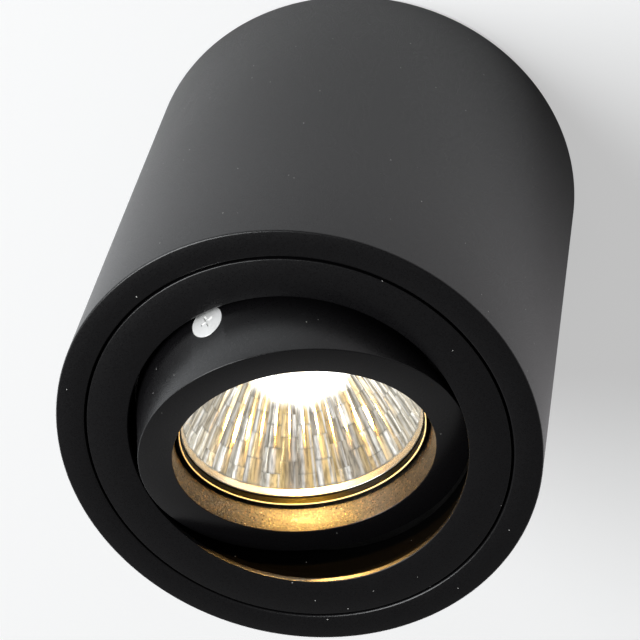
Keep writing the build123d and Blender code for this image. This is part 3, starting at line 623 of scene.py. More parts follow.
@dataclass(frozen=True)
class Moulding:
    """A moulded or fired body, mottled and slightly uneven: plastic, rubber or ceramic."""

    name: str
    colour: Colour
    roughness: float = 0.45
    mottle: float = 0.12
    grain: float = 0.5
    grain_depth: float = 0.01
    cloud: float = 6.0
    stripe: Colour | None = None
    stripe_size: float = 9.0
    stripe_start: float = 0.6

    def material(self) -> Paint:
        """Build the body's material.

        Returns:
            The material.
        """
        sheet = Sheet(self.name)
        grain = sheet.noise(self.grain, 4.0)
        colour = sheet.blend(sheet.noise(self.cloud, 2.0), self.colour,
                             shaded(self.colour, 1 - self.mottle))
        if self.stripe:
            wave = sheet.add("TexWave", {"Vector": sheet.place(), "Distortion": 1.0,
                                         "Scale": 1 / (self.stripe_size * MM)}).outputs["Fac"]
            striped = sheet.maths("GREATER_THAN", wave, self.stripe_start)
            colour = sheet.blend(striped, colour, self.stripe)
        sheet.set(
            base_color=colour,
            roughness=sheet.follow(grain, self.roughness - 0.06, self.roughness + 0.08),
            normal=sheet.relief(grain, self.grain_depth),
        )
        return sheet.material


@dataclass(frozen=True)
class ClearGlass:
    """Thin polished glass: light goes straight through, and more is mirrored at a low angle."""

    name: str
    colour: Colour = (0.98, 0.985, 0.975)
    roughness: float = 0.02
    film: float = 2.5
    film_shade: float = 0.95
    film_roughness: float = 0.05
    index: float = 1.46

    def material(self) -> Paint:
        """Build the glass's material.

        Returns:
            The material.
        """
        sheet = Sheet(self.name)
        film = sheet.noise(self.film, 3.0)
        seen = sheet.blend(film, self.colour, shaded(self.colour, self.film_shade))
        through = sheet.add("BsdfTransparent", {"Color": seen})
        rough = sheet.span(film, 0.4, 0.8, self.roughness, self.roughness + self.film_roughness)
        sheet.set(base_color=WHITE, roughness=rough)
        sheet.shader.inputs["Metallic"].default_value = 1.0
        outside = sheet.maths("SUBTRACT", 1.0, sheet.add("NewGeometry").outputs["Backfacing"])
        mirrored = sheet.times(sheet.add("Fresnel", {"IOR": self.index}).outputs["Fac"], outside)
        sheet.show(sheet.add("MixShader", {0: mirrored, 1: through.outputs[0],
                                           2: sheet.shader.outputs["BSDF"]}))
        return sheet.material


@dataclass(frozen=True)
class Glow:
    """A hot, shining surface."""

    name: str
    colour: Colour
    strength: float
    unevenness: float = 0.2
    cloud: float = 1.5
    roughness: float = 0.3

    def material(self) -> Paint:
        """Build the glowing material.

        Returns:
            The material.
        """
        sheet = Sheet(self.name)
        low, high = (1 - self.unevenness) * self.strength, (1 + self.unevenness) * self.strength
        sheet.set(
            base_color=self.colour,
            roughness=self.roughness,
            emission_color=self.colour,
            emission_strength=sheet.follow(sheet.noise(self.cloud, 2.0), low, high),
        )
        return sheet.material


@dataclass(frozen=True)
class PaintedMirrorReflections:
    """The facets' coat, with painted reflections: painted highlight and shadow streaks along each
    column, a painted gold reflection towards one side, a tint by facet, a little painted light over
    every facet and a painted glow near the neck.

    Streaks are placed and sized in shares of a facet's width.  The sides of the gold and of the
    glow are in degrees from the lamp's X axis.
    """

    name: str
    place: Matrix
    columns: int
    flash_place: Spread = (0.08, 0.66)
    flash_half: Spread = (0.07, 0.21)
    facet_shift: float = 0.26
    twin_offset: float = 0.42
    twin_half: float = 0.09
    shadow_offset: float = 0.21
    shadow_half: float = 0.11
    golden_offset: float = 0.60
    golden_half: float = 0.42
    streak_fall: float = 0.6
    lane: tuple[float, float, float] = (7.0, 1.4, 60.0)
    lane_shade: Colour = (0.50, 0.48, 0.46)
    painted_gold_side: float = 32.0
    glow_side: float = 30.0
    glow_shift: float = 3.6
    glow_start: float = 10.9
    glow_end: float = 12.7
    glow_jitter: float = 1.0
    glow_fall: float = 1.5
    glow: float = 3.4
    glow_colour: Colour = (1.0, 0.98, 0.94)
    lit: float = 0.82
    mirrored: float = 0.42
    roughness: Spread = (0.04, 0.14)
    sand: Colour = (0.60, 0.52, 0.42)
    grey: Colour = (0.58, 0.56, 0.50)
    gold: Colour = (0.90, 0.67, 0.32)
    slate: Colour = (0.27, 0.27, 0.25)

    def material(self) -> Paint:
        """Build the facets' material.

        Returns:
            The material.
        """
        sheet = Sheet(self.name)
        right, up = self.on_face(sheet)
        angle = sheet.maths("ARCTAN2", up, right)
        column = sheet.maths("FLOOR", sheet.maths("MULTIPLY_ADD", angle, self.columns / tau, 0.5))
        island = sheet.add("NewGeometry").outputs["Random Per Island"]
        of_column = self.chances(sheet, column)
        of_facet = self.chances(sheet, sheet.times(island, 997.0))
        uv = sheet.add("SeparateXYZ", {0: sheet.add("UVMap").outputs["UV"]}).outputs
        on_facet = (uv[0], uv[1])
        lane = sheet.add("CombineXYZ", {part: sheet.times(value, self.lane[part])
                                        for part, value in enumerate((*on_facet, island))})
        fine = sheet.add("TexNoise", {"Vector": lane.outputs[0], "Scale": 1.0, "Detail": 3.0})
        fine = fine.outputs["Fac"]
        # The painted gold reflection is strongest on one side of the lamp
        side = sheet.maths("COSINE", sheet.maths("SUBTRACT", angle, radians(self.painted_gold_side)))
        warm = sheet.span(side, 0.35, 1.0, 0.12, 1.0)
        shade = self.shade(sheet, on_facet, warm, of_column, of_facet)
        lanes = sheet.blend(sheet.span(fine, 0.34, 0.58, 0.0, 1.0), self.lane_shade, WHITE)
        shade = sheet.blend(1.0, shade, lanes, Mixing.TIMES)
        # Painted light: a glow round a hot spot near the neck, where the capsule is mirrored, and a
        # little glow over every facet
        reach = sheet.maths("MULTIPLY_ADD", of_facet[0], self.glow_jitter * MM,
                            self.from_hot_spot(sheet, right, up))
        near = sheet.span(reach, self.glow_start * MM, self.glow_end * MM, 1.0, 0.0)
        sheet.set(
            base_color=sheet.blend(1.0, shade, (self.mirrored,) * 3, Mixing.TIMES),
            roughness=sheet.follow(fine, *self.roughness),
            emission_color=sheet.blend(near, shade, self.glow_colour),
            emission_strength=sheet.maths(
                "MULTIPLY_ADD", sheet.maths("POWER", near, self.glow_fall), self.glow,
                sheet.span(of_facet[2], 0.0, 1.0, 0.75 * self.lit, 1.45 * self.lit)),
        )
        sheet.shader.inputs["Metallic"].default_value = 1.0
        return sheet.material

    def on_face(self, sheet: Sheet) -> tuple[Socket, ...]:
        """Find how far a place is from the lamp's axis.

        Args:
            sheet: The material's tree.

        Returns:
            The distances along the lamp's X and Y axes, in metres.
        """
        away = sheet.add("VectorMath", {0: sheet.place(), 1: tuple(self.place.translation)},
                         operation="SUBTRACT").outputs[0]
        return tuple(sheet.add("VectorMath", {0: away, 1: tuple(self.place.col[part].xyz)},
                               operation="DOT_PRODUCT").outputs["Value"] for part in (0, 1))

    def from_hot_spot(self, sheet: Sheet, right: Socket, up: Socket) -> Socket:
        """Find how far a place is from the middle of the glow.

        Args:
            sheet: The material's tree.
            right: The place along the lamp's X axis.
            up: The place along its Y axis.

        Returns:
            The distance, in metres.
        """
        drift, shift = radians(self.glow_side), self.glow_shift * MM
        squares = []
        for value, middle in ((right, shift * cos(drift)), (up, shift * sin(drift))):
            away = sheet.maths("SUBTRACT", value, middle)
            squares.append(sheet.times(away, away))
        return sheet.maths("SQRT", sheet.maths("ADD", *squares))

    def shade(self, sheet: Sheet, on_facet: tuple[Socket, Socket], warm: Socket,
              of_column: tuple[Socket, ...], of_facet: tuple[Socket, ...]) -> Socket:
        """Colour the facets with painted reflections: their highlight and shadow streaks, and
        painted shade at the steps between their rows.

        Args:
            sheet: The material's tree.
            on_facet: A place's shares across and along its facet.
            warm: How strongly the painted gold reflection shows on the place's side of the lamp.
            of_column: Three random numbers of the facet's column.
            of_facet: Three random numbers of the facet.

        Returns:
            The colour.
        """
        across, along = on_facet
        shift, tint, power = of_column
        jitter, width, level = of_facet
        centre = sheet.maths("MULTIPLY_ADD", jitter, self.facet_shift,
                             sheet.span(shift, 0.0, 1.0, *self.flash_place))
        shadow = sheet.maths("ADD", centre, self.shadow_offset)
        twin, golden = (sheet.maths("FRACT", sheet.maths("ADD", centre, offset))
                        for offset in (self.twin_offset, self.golden_offset))
        flash_half = sheet.span(width, 0.0, 1.0, *self.flash_half)
        # Painted shade at the steps between rows
        step = sheet.maths("MAXIMUM", sheet.span(along, 0.0, 0.09, 1.0, 0.0),
                           sheet.span(along, 0.92, 1.0, 0.0, 1.0))
        layers = (
            (self.sand, tint, warm),
            (self.gold, self.streak(sheet, across, golden, self.golden_half), warm),
            (self.slate, self.streak(sheet, across, shadow, self.shadow_half),
             sheet.span(level, 0.0, 1.0, 0.25, 0.9)),
            (WHITE, self.streak(sheet, across, twin, self.twin_half),
             sheet.span(power, 0.35, 0.8, 0.0, 0.9)),
            (WHITE, self.streak(sheet, across, centre, flash_half),
             sheet.span(level, 0.0, 0.5, 0.45, 1.0)),
            (self.slate, step, sheet.span(width, 0.1, 0.8, 0.0, 0.65)),
        )
        shade = self.grey
        for colour, where, strength in layers:
            shade = sheet.blend(sheet.times(where, strength), shade, colour)
        return shade

    @staticmethod
    def chances(sheet: Sheet, seed: Socket) -> tuple[Socket, ...]:
        """Three random numbers that belong to a seed."""
        colour = sheet.add("TexWhiteNoise", {"W": seed}, noise_dimensions="1D").outputs["Color"]
        return tuple(sheet.add("SeparateColor", {0: colour}).outputs)

    def streak(self, sheet: Sheet, across: Socket, centre: Socket, half: Any) -> Socket:
        """Draw a soft painted reflection streak along a facet.

        Args:
            sheet: The material's tree.
            across: A place's share across the facet.
            centre: The streak's place across the facet.
            half: Half the streak's width.

        Returns:
            How strong it is: 1 at its centre and 0 from its half width on.
        """
        away = sheet.maths("ABSOLUTE", sheet.maths("SUBTRACT", across, centre))
        near = sheet.maths("SUBTRACT", 1.0, sheet.maths("DIVIDE", away, half), clamp=True)
        return sheet.maths("POWER", near, self.streak_fall)


# --- Where the moving parts are ---
@dataclass(frozen=True)
class Axes:
    """The axes of the trim, the tilting ring and the lamp: X to the lean, Z to their backs."""

    trim: Matrix
    ring: Matrix

    @classmethod
    def from_joints(cls, joints: Iterable[dict[str, Any]]) -> "Axes":
        """Read the axes from the frame's joints.

        Args:
            joints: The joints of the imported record.

        Returns:
            The axes at rest.
        """
        named = {joint["name"]: joint for joint in joints}
        pivot = Vector(named["ring_tilt"]["pos_m"])
        across = -Vector(named["ring_tilt"]["axis"]).normalized()
        lamp = Vector(named["lamp_turn"]["axis"]).normalized()
        return cls(cls.stand(pivot, across, Vector((0, 0, 1))), cls.stand(pivot, across, lamp))

    @staticmethod
    def stand(origin: Vector, across: Vector, up: Vector) -> Matrix:
        """The matrix of axes with Y across and Z up."""
        columns = Matrix((across.cross(up), across, up)).transposed().to_4x4()
        return Matrix.Translation(origin) @ columns

    @property
    def lamp(self) -> Matrix:
        """The lamp's own axes, about the centre of its front."""
        return self.ring @ Matrix.Translation((0, 0, LAMP_FRONT * MM))


# --- Housing ---
@dataclass
class Housing:
    """The round case that stays on the ceiling."""

    coat: Paint
    painted_edge_highlight: Paint
    sides: int = 256
    wall: float = 3.0
    rim: float = 5.74
    seat_depth: float = 3.0
    ledge_reach: float = 3.66
    ledge_thickness: float = 4.0
    edge: float = 0.4
    screw_drop: float = 9.0
    screw_head: float = 4.0
    screw_hole: float = 2.25
    screw_sides: int = 48

    def build(self) -> list[Piece]:
        """Model the case with its front seat and its two countersunk holes.

        Returns:
            The case.
        """
        low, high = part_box("housing_tube")
        radius, depth = high.x / MM, -low.z / MM
        bore, seat = radius - self.wall, radius - self.rim
        ledge, ledge_front = seat - self.ledge_reach, self.seat_depth - depth
        ledge_back = ledge_front + self.ledge_thickness
        outline = [
            (bore, 0), (radius, 0), (radius, -depth), (seat, -depth), (seat, ledge_front),
            (ledge, ledge_front), (ledge, ledge_back), (bore, ledge_back),
        ]
        case = rounded(turned("housing_case", outline, self.sides), self.edge)
        hole = Countersink(self.screw_head + 1, self.screw_hole, self.screw_head - self.screw_hole,
                           2 * self.wall, self.screw_sides)
        hole.cut_into(case, -self.screw_drop, radius)
        finish(smooth(case), self.coat, self.painted_edge_highlight)
        # Only the bevels round the front seat keep the painted edge highlight; the rest takes the
        # coat
        for face in case.data.polygons:
            if face.center.xy.length > (seat + self.edge + 0.1) * MM:
                face.material_index = 0
        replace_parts(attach(case, "housing"), "housing_tube")
        return [case]


# --- Trim ---
@dataclass
class Trim:
    """The ring set flush in the housing's front."""

    axes: Axes
    coat: Paint
    painted_edge_highlight: Paint
    painted_shade: Paint
    sides: int = 240
    radius: float = 41.8
    opening: float = 33.6
    front: float = -6.97
    flange: float = 2.9
    sleeve_bore: float = 34.4
    sleeve: float = 36.6
    sleeve_top: float = 5.03
    painted_shade_start: float = 1.2
    edge: float = 0.2

    def build(self) -> list[Piece]:
        """Model the flange and the sleeve behind it.

        Returns:
            The ring of both.
        """
        back, painted_shade_start = self.front + self.flange, self.front + self.painted_shade_start
        outline = [
            (self.opening, self.front), (self.radius, self.front), (self.radius, back),
            (self.sleeve, back), (self.sleeve, self.sleeve_top),
            (self.sleeve_bore, self.sleeve_top), (self.sleeve_bore, back), (self.opening, back),
            (self.opening, painted_shade_start),
        ]
        ring = smooth(rounded(turned("trim_bezel", outline, self.sides), self.edge))
        finish(ring, self.coat, self.painted_edge_highlight, self.painted_shade)
        # Inner walls deeper than the front of the opening take painted shade instead of the coat;
        # the other rounded edges keep the painted edge highlight
        for face in ring.data.polygons:
            inside = face.center.xy.length < (self.sleeve_bore + 0.1) * MM
            if inside and face.center.z > painted_shade_start * MM:
                face.material_index = 2
        put(ring, self.axes.trim)
        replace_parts(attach(ring, "trim"), "trim_ring")
        return [ring]


# --- Tilting ring ---
@dataclass
class TiltingRing:
    """The ring that tilts in the trim and takes the lamp."""

    axes: Axes
    coat: Paint
    painted_edge_highlight: Paint
    sand: Paint
    nickel: Paint
    sides: int = 240
    radius: float = 32.52
    front: float = -7.625
    rear: float = 9.4
    rear_radius: float = 32.05
    skirt_wall: float = 2.1
    web: float = 2.2
    lamp_bore: float = 25.35
    flare: float = 0.45
    barrel_wall: float = 2.0
    lip_front: float = 1.15
    lip_radius: float = 24.2
    lip: float = 1.8
    edge: float = 0.2
    hole: Countersink = Countersink(mouth=4.69, hole=1.55, sink=1.72, depth=4, sides=64)
    screw_sides: int = 64
    screw_height: float = 4.8
    screw_head: float = 3.4
    screw_shank: float = 1.45
    screw_sink: float = 0.15
    screw_cone: float = 50.0
    screw_length: float = 5.5
    crown: float = 0.12
    cross: float = 2.7
    cross_width: float = 0.6
    cross_depth: float = 0.16
    cross_turn: float = 20.0

    def build(self) -> list[Piece]:
        """Model the ring and its two bright screws."""
        return [self.ring(), self.screws()]

    def ring(self) -> Piece:
        """Model the ring with its sandy bore and the countersinks of its screws.

        Returns:
            The ring.
        """
        bore, barrel = self.radius - self.skirt_wall, self.lamp_bore + self.barrel_wall
        lip_back, web_back = self.lip_front + self.lip, self.front + self.web
        mouth = self.lamp_bore + self.flare
        outline = [
            (mouth, self.front), (self.radius, self.front), (self.radius, -self.front),
            (self.rear_radius, self.rear), (bore, self.rear), (bore, web_back),
            (barrel, web_back), (barrel, lip_back), (self.lip_radius, lip_back),
            (self.lip_radius, self.lip_front), (self.lamp_bore, self.lip_front),
            (self.lamp_bore, LAMP_FRONT),
        ]
        ring = rounded(turned("tilting_ring", outline, self.sides), self.edge)
        self.hole.cut_into(ring, self.screw_height, self.radius - self.screw_sink)
        finish(smooth(ring), self.coat, self.painted_edge_highlight, self.sand)
        # The bore takes the sandy coat; bevels on the outer front edge keep the painted edge
        # highlight
        for face in ring.data.polygons:
            reach, height = face.center.xy.length / MM, face.center.z / MM
            if reach < mouth and height < self.lip_front:
                face.material_index = 2
            elif reach < self.radius - 1 or height > 0:
                face.material_index = 0
        put(ring, self.axes.ring)
        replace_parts(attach(ring, "lamp_ring"), "tilt_ring")
        return ring

    def screws(self) -> Piece:
        """Model the two countersunk screws with their cross recess.

        Returns:
            Both, as one piece.
        """
        head, shank = self.screw_head, self.screw_shank
        sink = (head - shank) / tan(radians(self.screw_cone))
        outline = [
            (0, self.crown), (0.55 * head, 0.8 * self.crown), (head - 0.05, 0), (head, -0.06),
            (shank, -sink), (shank, -self.screw_length), (0, -self.screw_length),
        ]
        screws = []
        for angle in FLANKS:
            screw = turned("screw", outline, self.screw_sides, closed=False)
            for turn in (self.cross_turn, self.cross_turn + 90):
                slot = block("slot", (self.cross, self.cross_width, 2 * self.cross_depth))
                cut(screw, put(slot, Matrix.Rotation(radians(turn), 4, "Z")))
            place = side(self.axes.ring, angle, self.screw_height, self.radius - self.screw_sink)
            screws.append(put(smooth(screw), place))
        pair = finish(joined("strap_screw_pair", screws), self.nickel)
        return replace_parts(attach(pair, "lamp_ring"), "strap_screws")


# --- Leads ---
@dataclass
class Leads:
    """The two lamp leads, cut into three lengths: tails in the terminal block, runs and drops."""

    sleeve: Paint
    tail_end: float = -15.5
    turn_start: float = 34.5
    turn_end: float = 10.5
    run_end: float = -2.0
    tilt_start: Vector = Vector((-2.0, -2.0, -23.0))
    tilt_end: Vector = Vector((-16.5, -16.5, -38.0))

    def build(self) -> list[Piece]:
        """Cut the leads at two planes into three lengths.

        Returns:
            The three lengths.
        """
        up, over = Vector((0, 0, 1)), Vector((1, 1, 0)).normalized()
        tail = Vector((0, 0, self.tail_end * MM))
        middle = Vector((self.run_end * MM, self.run_end * MM, 0))
        tails = trimmed(traced("lamp_leads", "lead_tails"), tail, -up)
        runs = trimmed(trimmed(traced("lamp_leads", "lead_runs"), tail, up), middle, -over)
        drops = trimmed(trimmed(traced("lamp_leads", "lead_drops"), tail, up), middle, over)
        pieces = [finish(smooth(piece), self.sleeve) for piece in (tails, runs, drops)]
        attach(tails, "housing")
        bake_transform(runs)
        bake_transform(drops)
        for piece in pieces:
            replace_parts(piece, "lamp_leads")
        return pieces


# --- Lamp ---
@dataclass
class Lamp:
    """The twist-lock reflector lamp; depths are behind its front."""

    axes: Axes
    mirror: Paint
    collar: Paint
    rim_glass: Paint
    glint: Paint
    glass: Paint
    hot: Paint
    sides: int = 144
    radius: float = 25.0
    rim_thickness: float = 3.0
    rim_edge: float = 0.28
    mirror_radius: float = 23.8
    mirror_start: float = 1.7
    collar_radius: float = 23.55
    facet_start: float = 3.3
    facet_lines: int = 6
    facet_rows: int = 3
    mirror_depth: float = 27.0
    neck_radius: float = 6.2
    columns: int = 36
    rows: int = 7
    bulge: float = 0.42
    crown: float = 0.05
    shell: float = 0.9
    shell_steps: int = 8
    neck_outer: float = 9.5
    neck_end: float = 33.0
    glass_radius: float = 24.15
    glass_front: float = 0.3
    glass_edge: float = 0.3
    glass_thickness: float = 1.4
    capsule_sides: int = 48
    capsule_radius: float = 4.6
    capsule_front: float = 9.0
    capsule_end: float = 25.0
    warm: Colour = (1.0, 0.54, 0.13)
    spark_depth: float = 8.0
    spark_radius: float = 2.0
    spark_watts: float = 0.11
    beam_depth: float = -0.3
    beam_spread: float = 50.0
    beam_watts: float = 2.5

    @property
    def slope(self) -> float:
        """How the mirror's squared radius falls with depth."""
        fall = self.mirror_radius**2 - self.neck_radius**2
        return fall / (self.mirror_depth - self.mirror_start)

    def depth_at(self, radius: float) -> float:
        """How deep the mirror is at a radius."""
        return self.mirror_start + (self.mirror_radius**2 - radius**2) / self.slope

    @property
    def facet_radius(self) -> float:
        """The mirror's radius where its facets start, behind the smooth collar."""
        fall = self.slope * (self.facet_start - self.mirror_start)
        return sqrt(self.mirror_radius**2 - fall)

    def build(self) -> list[Piece]:
        """Model the reflector, its cover glass and the capsule."""
        return [self.reflector(), self.cover(), self.capsule()]

    def facet(self, outer: float, inner: float) -> Piece:
        """Model one pillow facet of the mirror, on the X side of the axis.

        Args:
            outer: The mirror's radius at the facet's front edge.
            inner: The mirror's radius at its rear edge.

        Returns:
            The facet.
        """
        bpy.ops.object.select_all(action="DESELECT")
        bpy.ops.mesh.primitive_grid_add(x_subdivisions=self.facet_lines,
                                        y_subdivisions=self.facet_rows, size=1)
        tile = fresh("facet")
        edit(tile, whole=False)
        front, back = self.depth_at(outer), self.depth_at(inner)
        length = sqrt((outer - inner) ** 2 + (back - front) ** 2)
        half = tan(pi / self.columns)
        for line in range(self.facet_lines + 1):
            x = line / self.facet_lines - 0.5
            pick(tile, lambda point: abs(point.x - x) < MERGE)
            bpy.ops.transform.translate(value=(0, 0, self.bulge * (1 - (2 * x) ** 2)))
        for row in range(self.facet_rows + 1):
            y = row / self.facet_rows - 0.5
            pick(tile, lambda point: abs(point.y - y) < MERGE)
            width = 2 * half * (outer + (inner - outer) * (y + 0.5))
            bpy.ops.transform.resize(value=(width, 1, 1), center_override=(0, 0, 0))
            bpy.ops.transform.translate(value=(0, 0, self.crown * (1 - (2 * y) ** 2)))
        done(tile)
        along = Vector((inner - outer, 0, back - front)).normalized()
        across = Vector((0, 1, 0))
        columns = Matrix((across, along, across.cross(along))).transposed().to_4x4()
        middle = Vector((outer + inner, 0, front + back)) * 0.5
        stretch = Matrix.Diagonal((1, length, 1, 1))
        return put(tile, Matrix.Scale(MM, 4) @ Matrix.Translation(middle) @ columns @ stretch)

    def facets(self) -> Piece:
        """Model the whole mirror, with every second column staggered by half a row.

        Returns:
            The mirror.
        """
        first, last = self.facet_radius, self.neck_radius
        step = (first - last) / self.rows
        straight = [first - step * row for row in range(self.rows + 1)]
        staggered = [first, *[radius - step / 2 for radius in straight[:-1]], last]
        count = self.columns // 2
        tiles = []
        for turn, edges in ((0.0, straight), (tau / self.columns, staggered)):
            for outer, inner in zip(edges, edges[1:]):
                tile = put(self.facet(outer, inner), Matrix.Rotation(turn, 4, "Z"))
                edit(tile)
                bpy.ops.mesh.spin(steps=count - 1, dupli=True, angle=tau * (count - 1) / count,
                                  center=(0, 0, 0), axis=(0, 0, 1))
                tiles.append(done(tile))
        mirror = joined("mirror_facets", tiles)
        edit(mirror)
        bpy.ops.mesh.flip_normals()
        return smooth(done(mirror))

    def reflector(self) -> Piece:
        """Model the glass body with its bright collar, and join the facets to it.

        Returns:
            The reflector.
        """
        rise = [self.facet_radius - (self.facet_radius - self.neck_outer) * step / self.shell_steps
                for step in range(self.shell_steps + 1)]
        inside = [(radius + 0.6, self.depth_at(radius) + 0.3) for radius in rise]
        outside = [(radius + self.shell + 0.3, self.depth_at(radius) + 0.5) for radius in rise]
        rebate = self.glass_radius + 0.05
        outline = [
            (rebate, 0), (self.radius, 0), (self.radius, self.rim_thickness), *outside[1:],
            (self.neck_outer, self.neck_end), (self.neck_radius, self.neck_end),
            (self.neck_radius, self.mirror_depth), *reversed(inside),
            (self.collar_radius, self.facet_start), (self.mirror_radius, self.mirror_start),
            (rebate, self.mirror_start),
        ]
        body = smooth(rounded(turned("reflector_glass", outline, self.sides), self.rim_edge))
        finish(body, self.rim_glass, self.glint, self.collar, self.mirror)
        edge_radius = (self.glass_radius + self.rim_edge + 0.1) * MM
        # Rounded edges take the glint, a glowing painted highlight: on the front of the rim, and on
        # the other outer edges too
        for face in body.data.polygons:
            inwards = face.normal.xy.dot(face.center.xy) < 0
            if face.center.z > self.mirror_start * MM and inwards:
                face.material_index = 2
            elif face.center.xy.length < edge_radius:
                at_front = face.center.z < self.rim_edge * MM and face.normal.z < -0.2
                face.material_index = 1 if at_front else 0
        facets = finish(self.facets(), *[self.mirror] * 4)
        for face in facets.data.polygons:
            face.material_index = 3
        whole = put(joined("reflector_glass", [body, facets]), self.axes.lamp)
        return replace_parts(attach(whole, "lamp"), "lamp_reflector")

    def cover(self) -> Piece:
        """Model the cover glass with its ground edge.

        Returns:
            The cover glass.
        """
        front, back = self.glass_front, self.glass_front + self.glass_thickness
        outline = [(0, front), (self.glass_radius - self.glass_edge, front),
                   (self.glass_radius, front + self.glass_edge), (self.glass_radius, back),
                   (0, back)]
        disc = smooth(turned("cover_glass", outline, self.sides, closed=False))
        put(finish(disc, self.glass), self.axes.lamp)
        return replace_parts(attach(disc, "lamp"), "lamp_front_glass")

    def capsule(self) -> Piece:
        """Model the quartz capsule's bulb.

        Returns:
            The bulb.
        """
        radius, front, end = self.capsule_radius, self.capsule_front, self.capsule_end
        nose = [(radius * sin(angle), front + radius * (1 - cos(angle)))
                for angle in (radians(15 * step) for step in range(7))]
        outline = [*nose, (radius, end - 1.5), (0.7 * radius, end), (0, end)]
        bulb = smooth(turned("quartz_bulb", outline, self.capsule_sides, closed=False))
        put(finish(bulb, self.hot), self.axes.lamp)
        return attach(bulb, "lamp")

    def shine(self) -> None:
        """Hang the lamp's own lights: the hot capsule, and the beam in front of the glass."""
        spark = self.light("POINT", "capsule_light", self.spark_watts, self.spark_depth)
        spark.shadow_soft_size = self.spark_radius * MM
        beam = self.light("AREA", "beam_light", self.beam_watts, self.beam_depth)
        beam.shape = "DISK"
        beam.size = 2 * self.mirror_radius * MM
        beam.spread = radians(self.beam_spread)

    def light(self, kind: str, name: str, watts: float, depth: float) -> bpy.types.Light:
        """Hang a warm light on the lamp's axis, and let it move with the lamp.

        Args:
            kind: Blender's name of the light's type.
            name: Name of the light.
            watts: Its power.
            depth: How far behind the lamp's front it is.

        Returns:
            The light's data.
        """
        bpy.ops.object.light_add(type=kind)
        light = bpy.context.active_object
        light.name = name
        light.data.energy = watts
        light.data.color = self.warm
        light.visible_camera = False
        light.matrix_world = self.axes.lamp @ Matrix.Translation((0, 0, depth * MM))
        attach(light, "lamp")
        return light.data


# --- Studio ---
@dataclass(frozen=True)
class Softbox:
    """A soft studio light."""

    name: str
    place: tuple[float, float, float]
    size: float
    watts: float
    colour: Colour

    def hang(self, target: Vector) -> None:
        """Add the light.

        Args:
            target: The place that it looks at.
        """
        data = bpy.data.lights.new(self.name, "AREA")
        data.shape = "DISK"
        data.size = self.size
        data.energy = self.watts
        data.color = self.colour
        light = linked(self.name, data)
        light.location = self.place
        light.rotation_euler = (target - light.location).to_track_quat("-Z", "Y").to_euler()


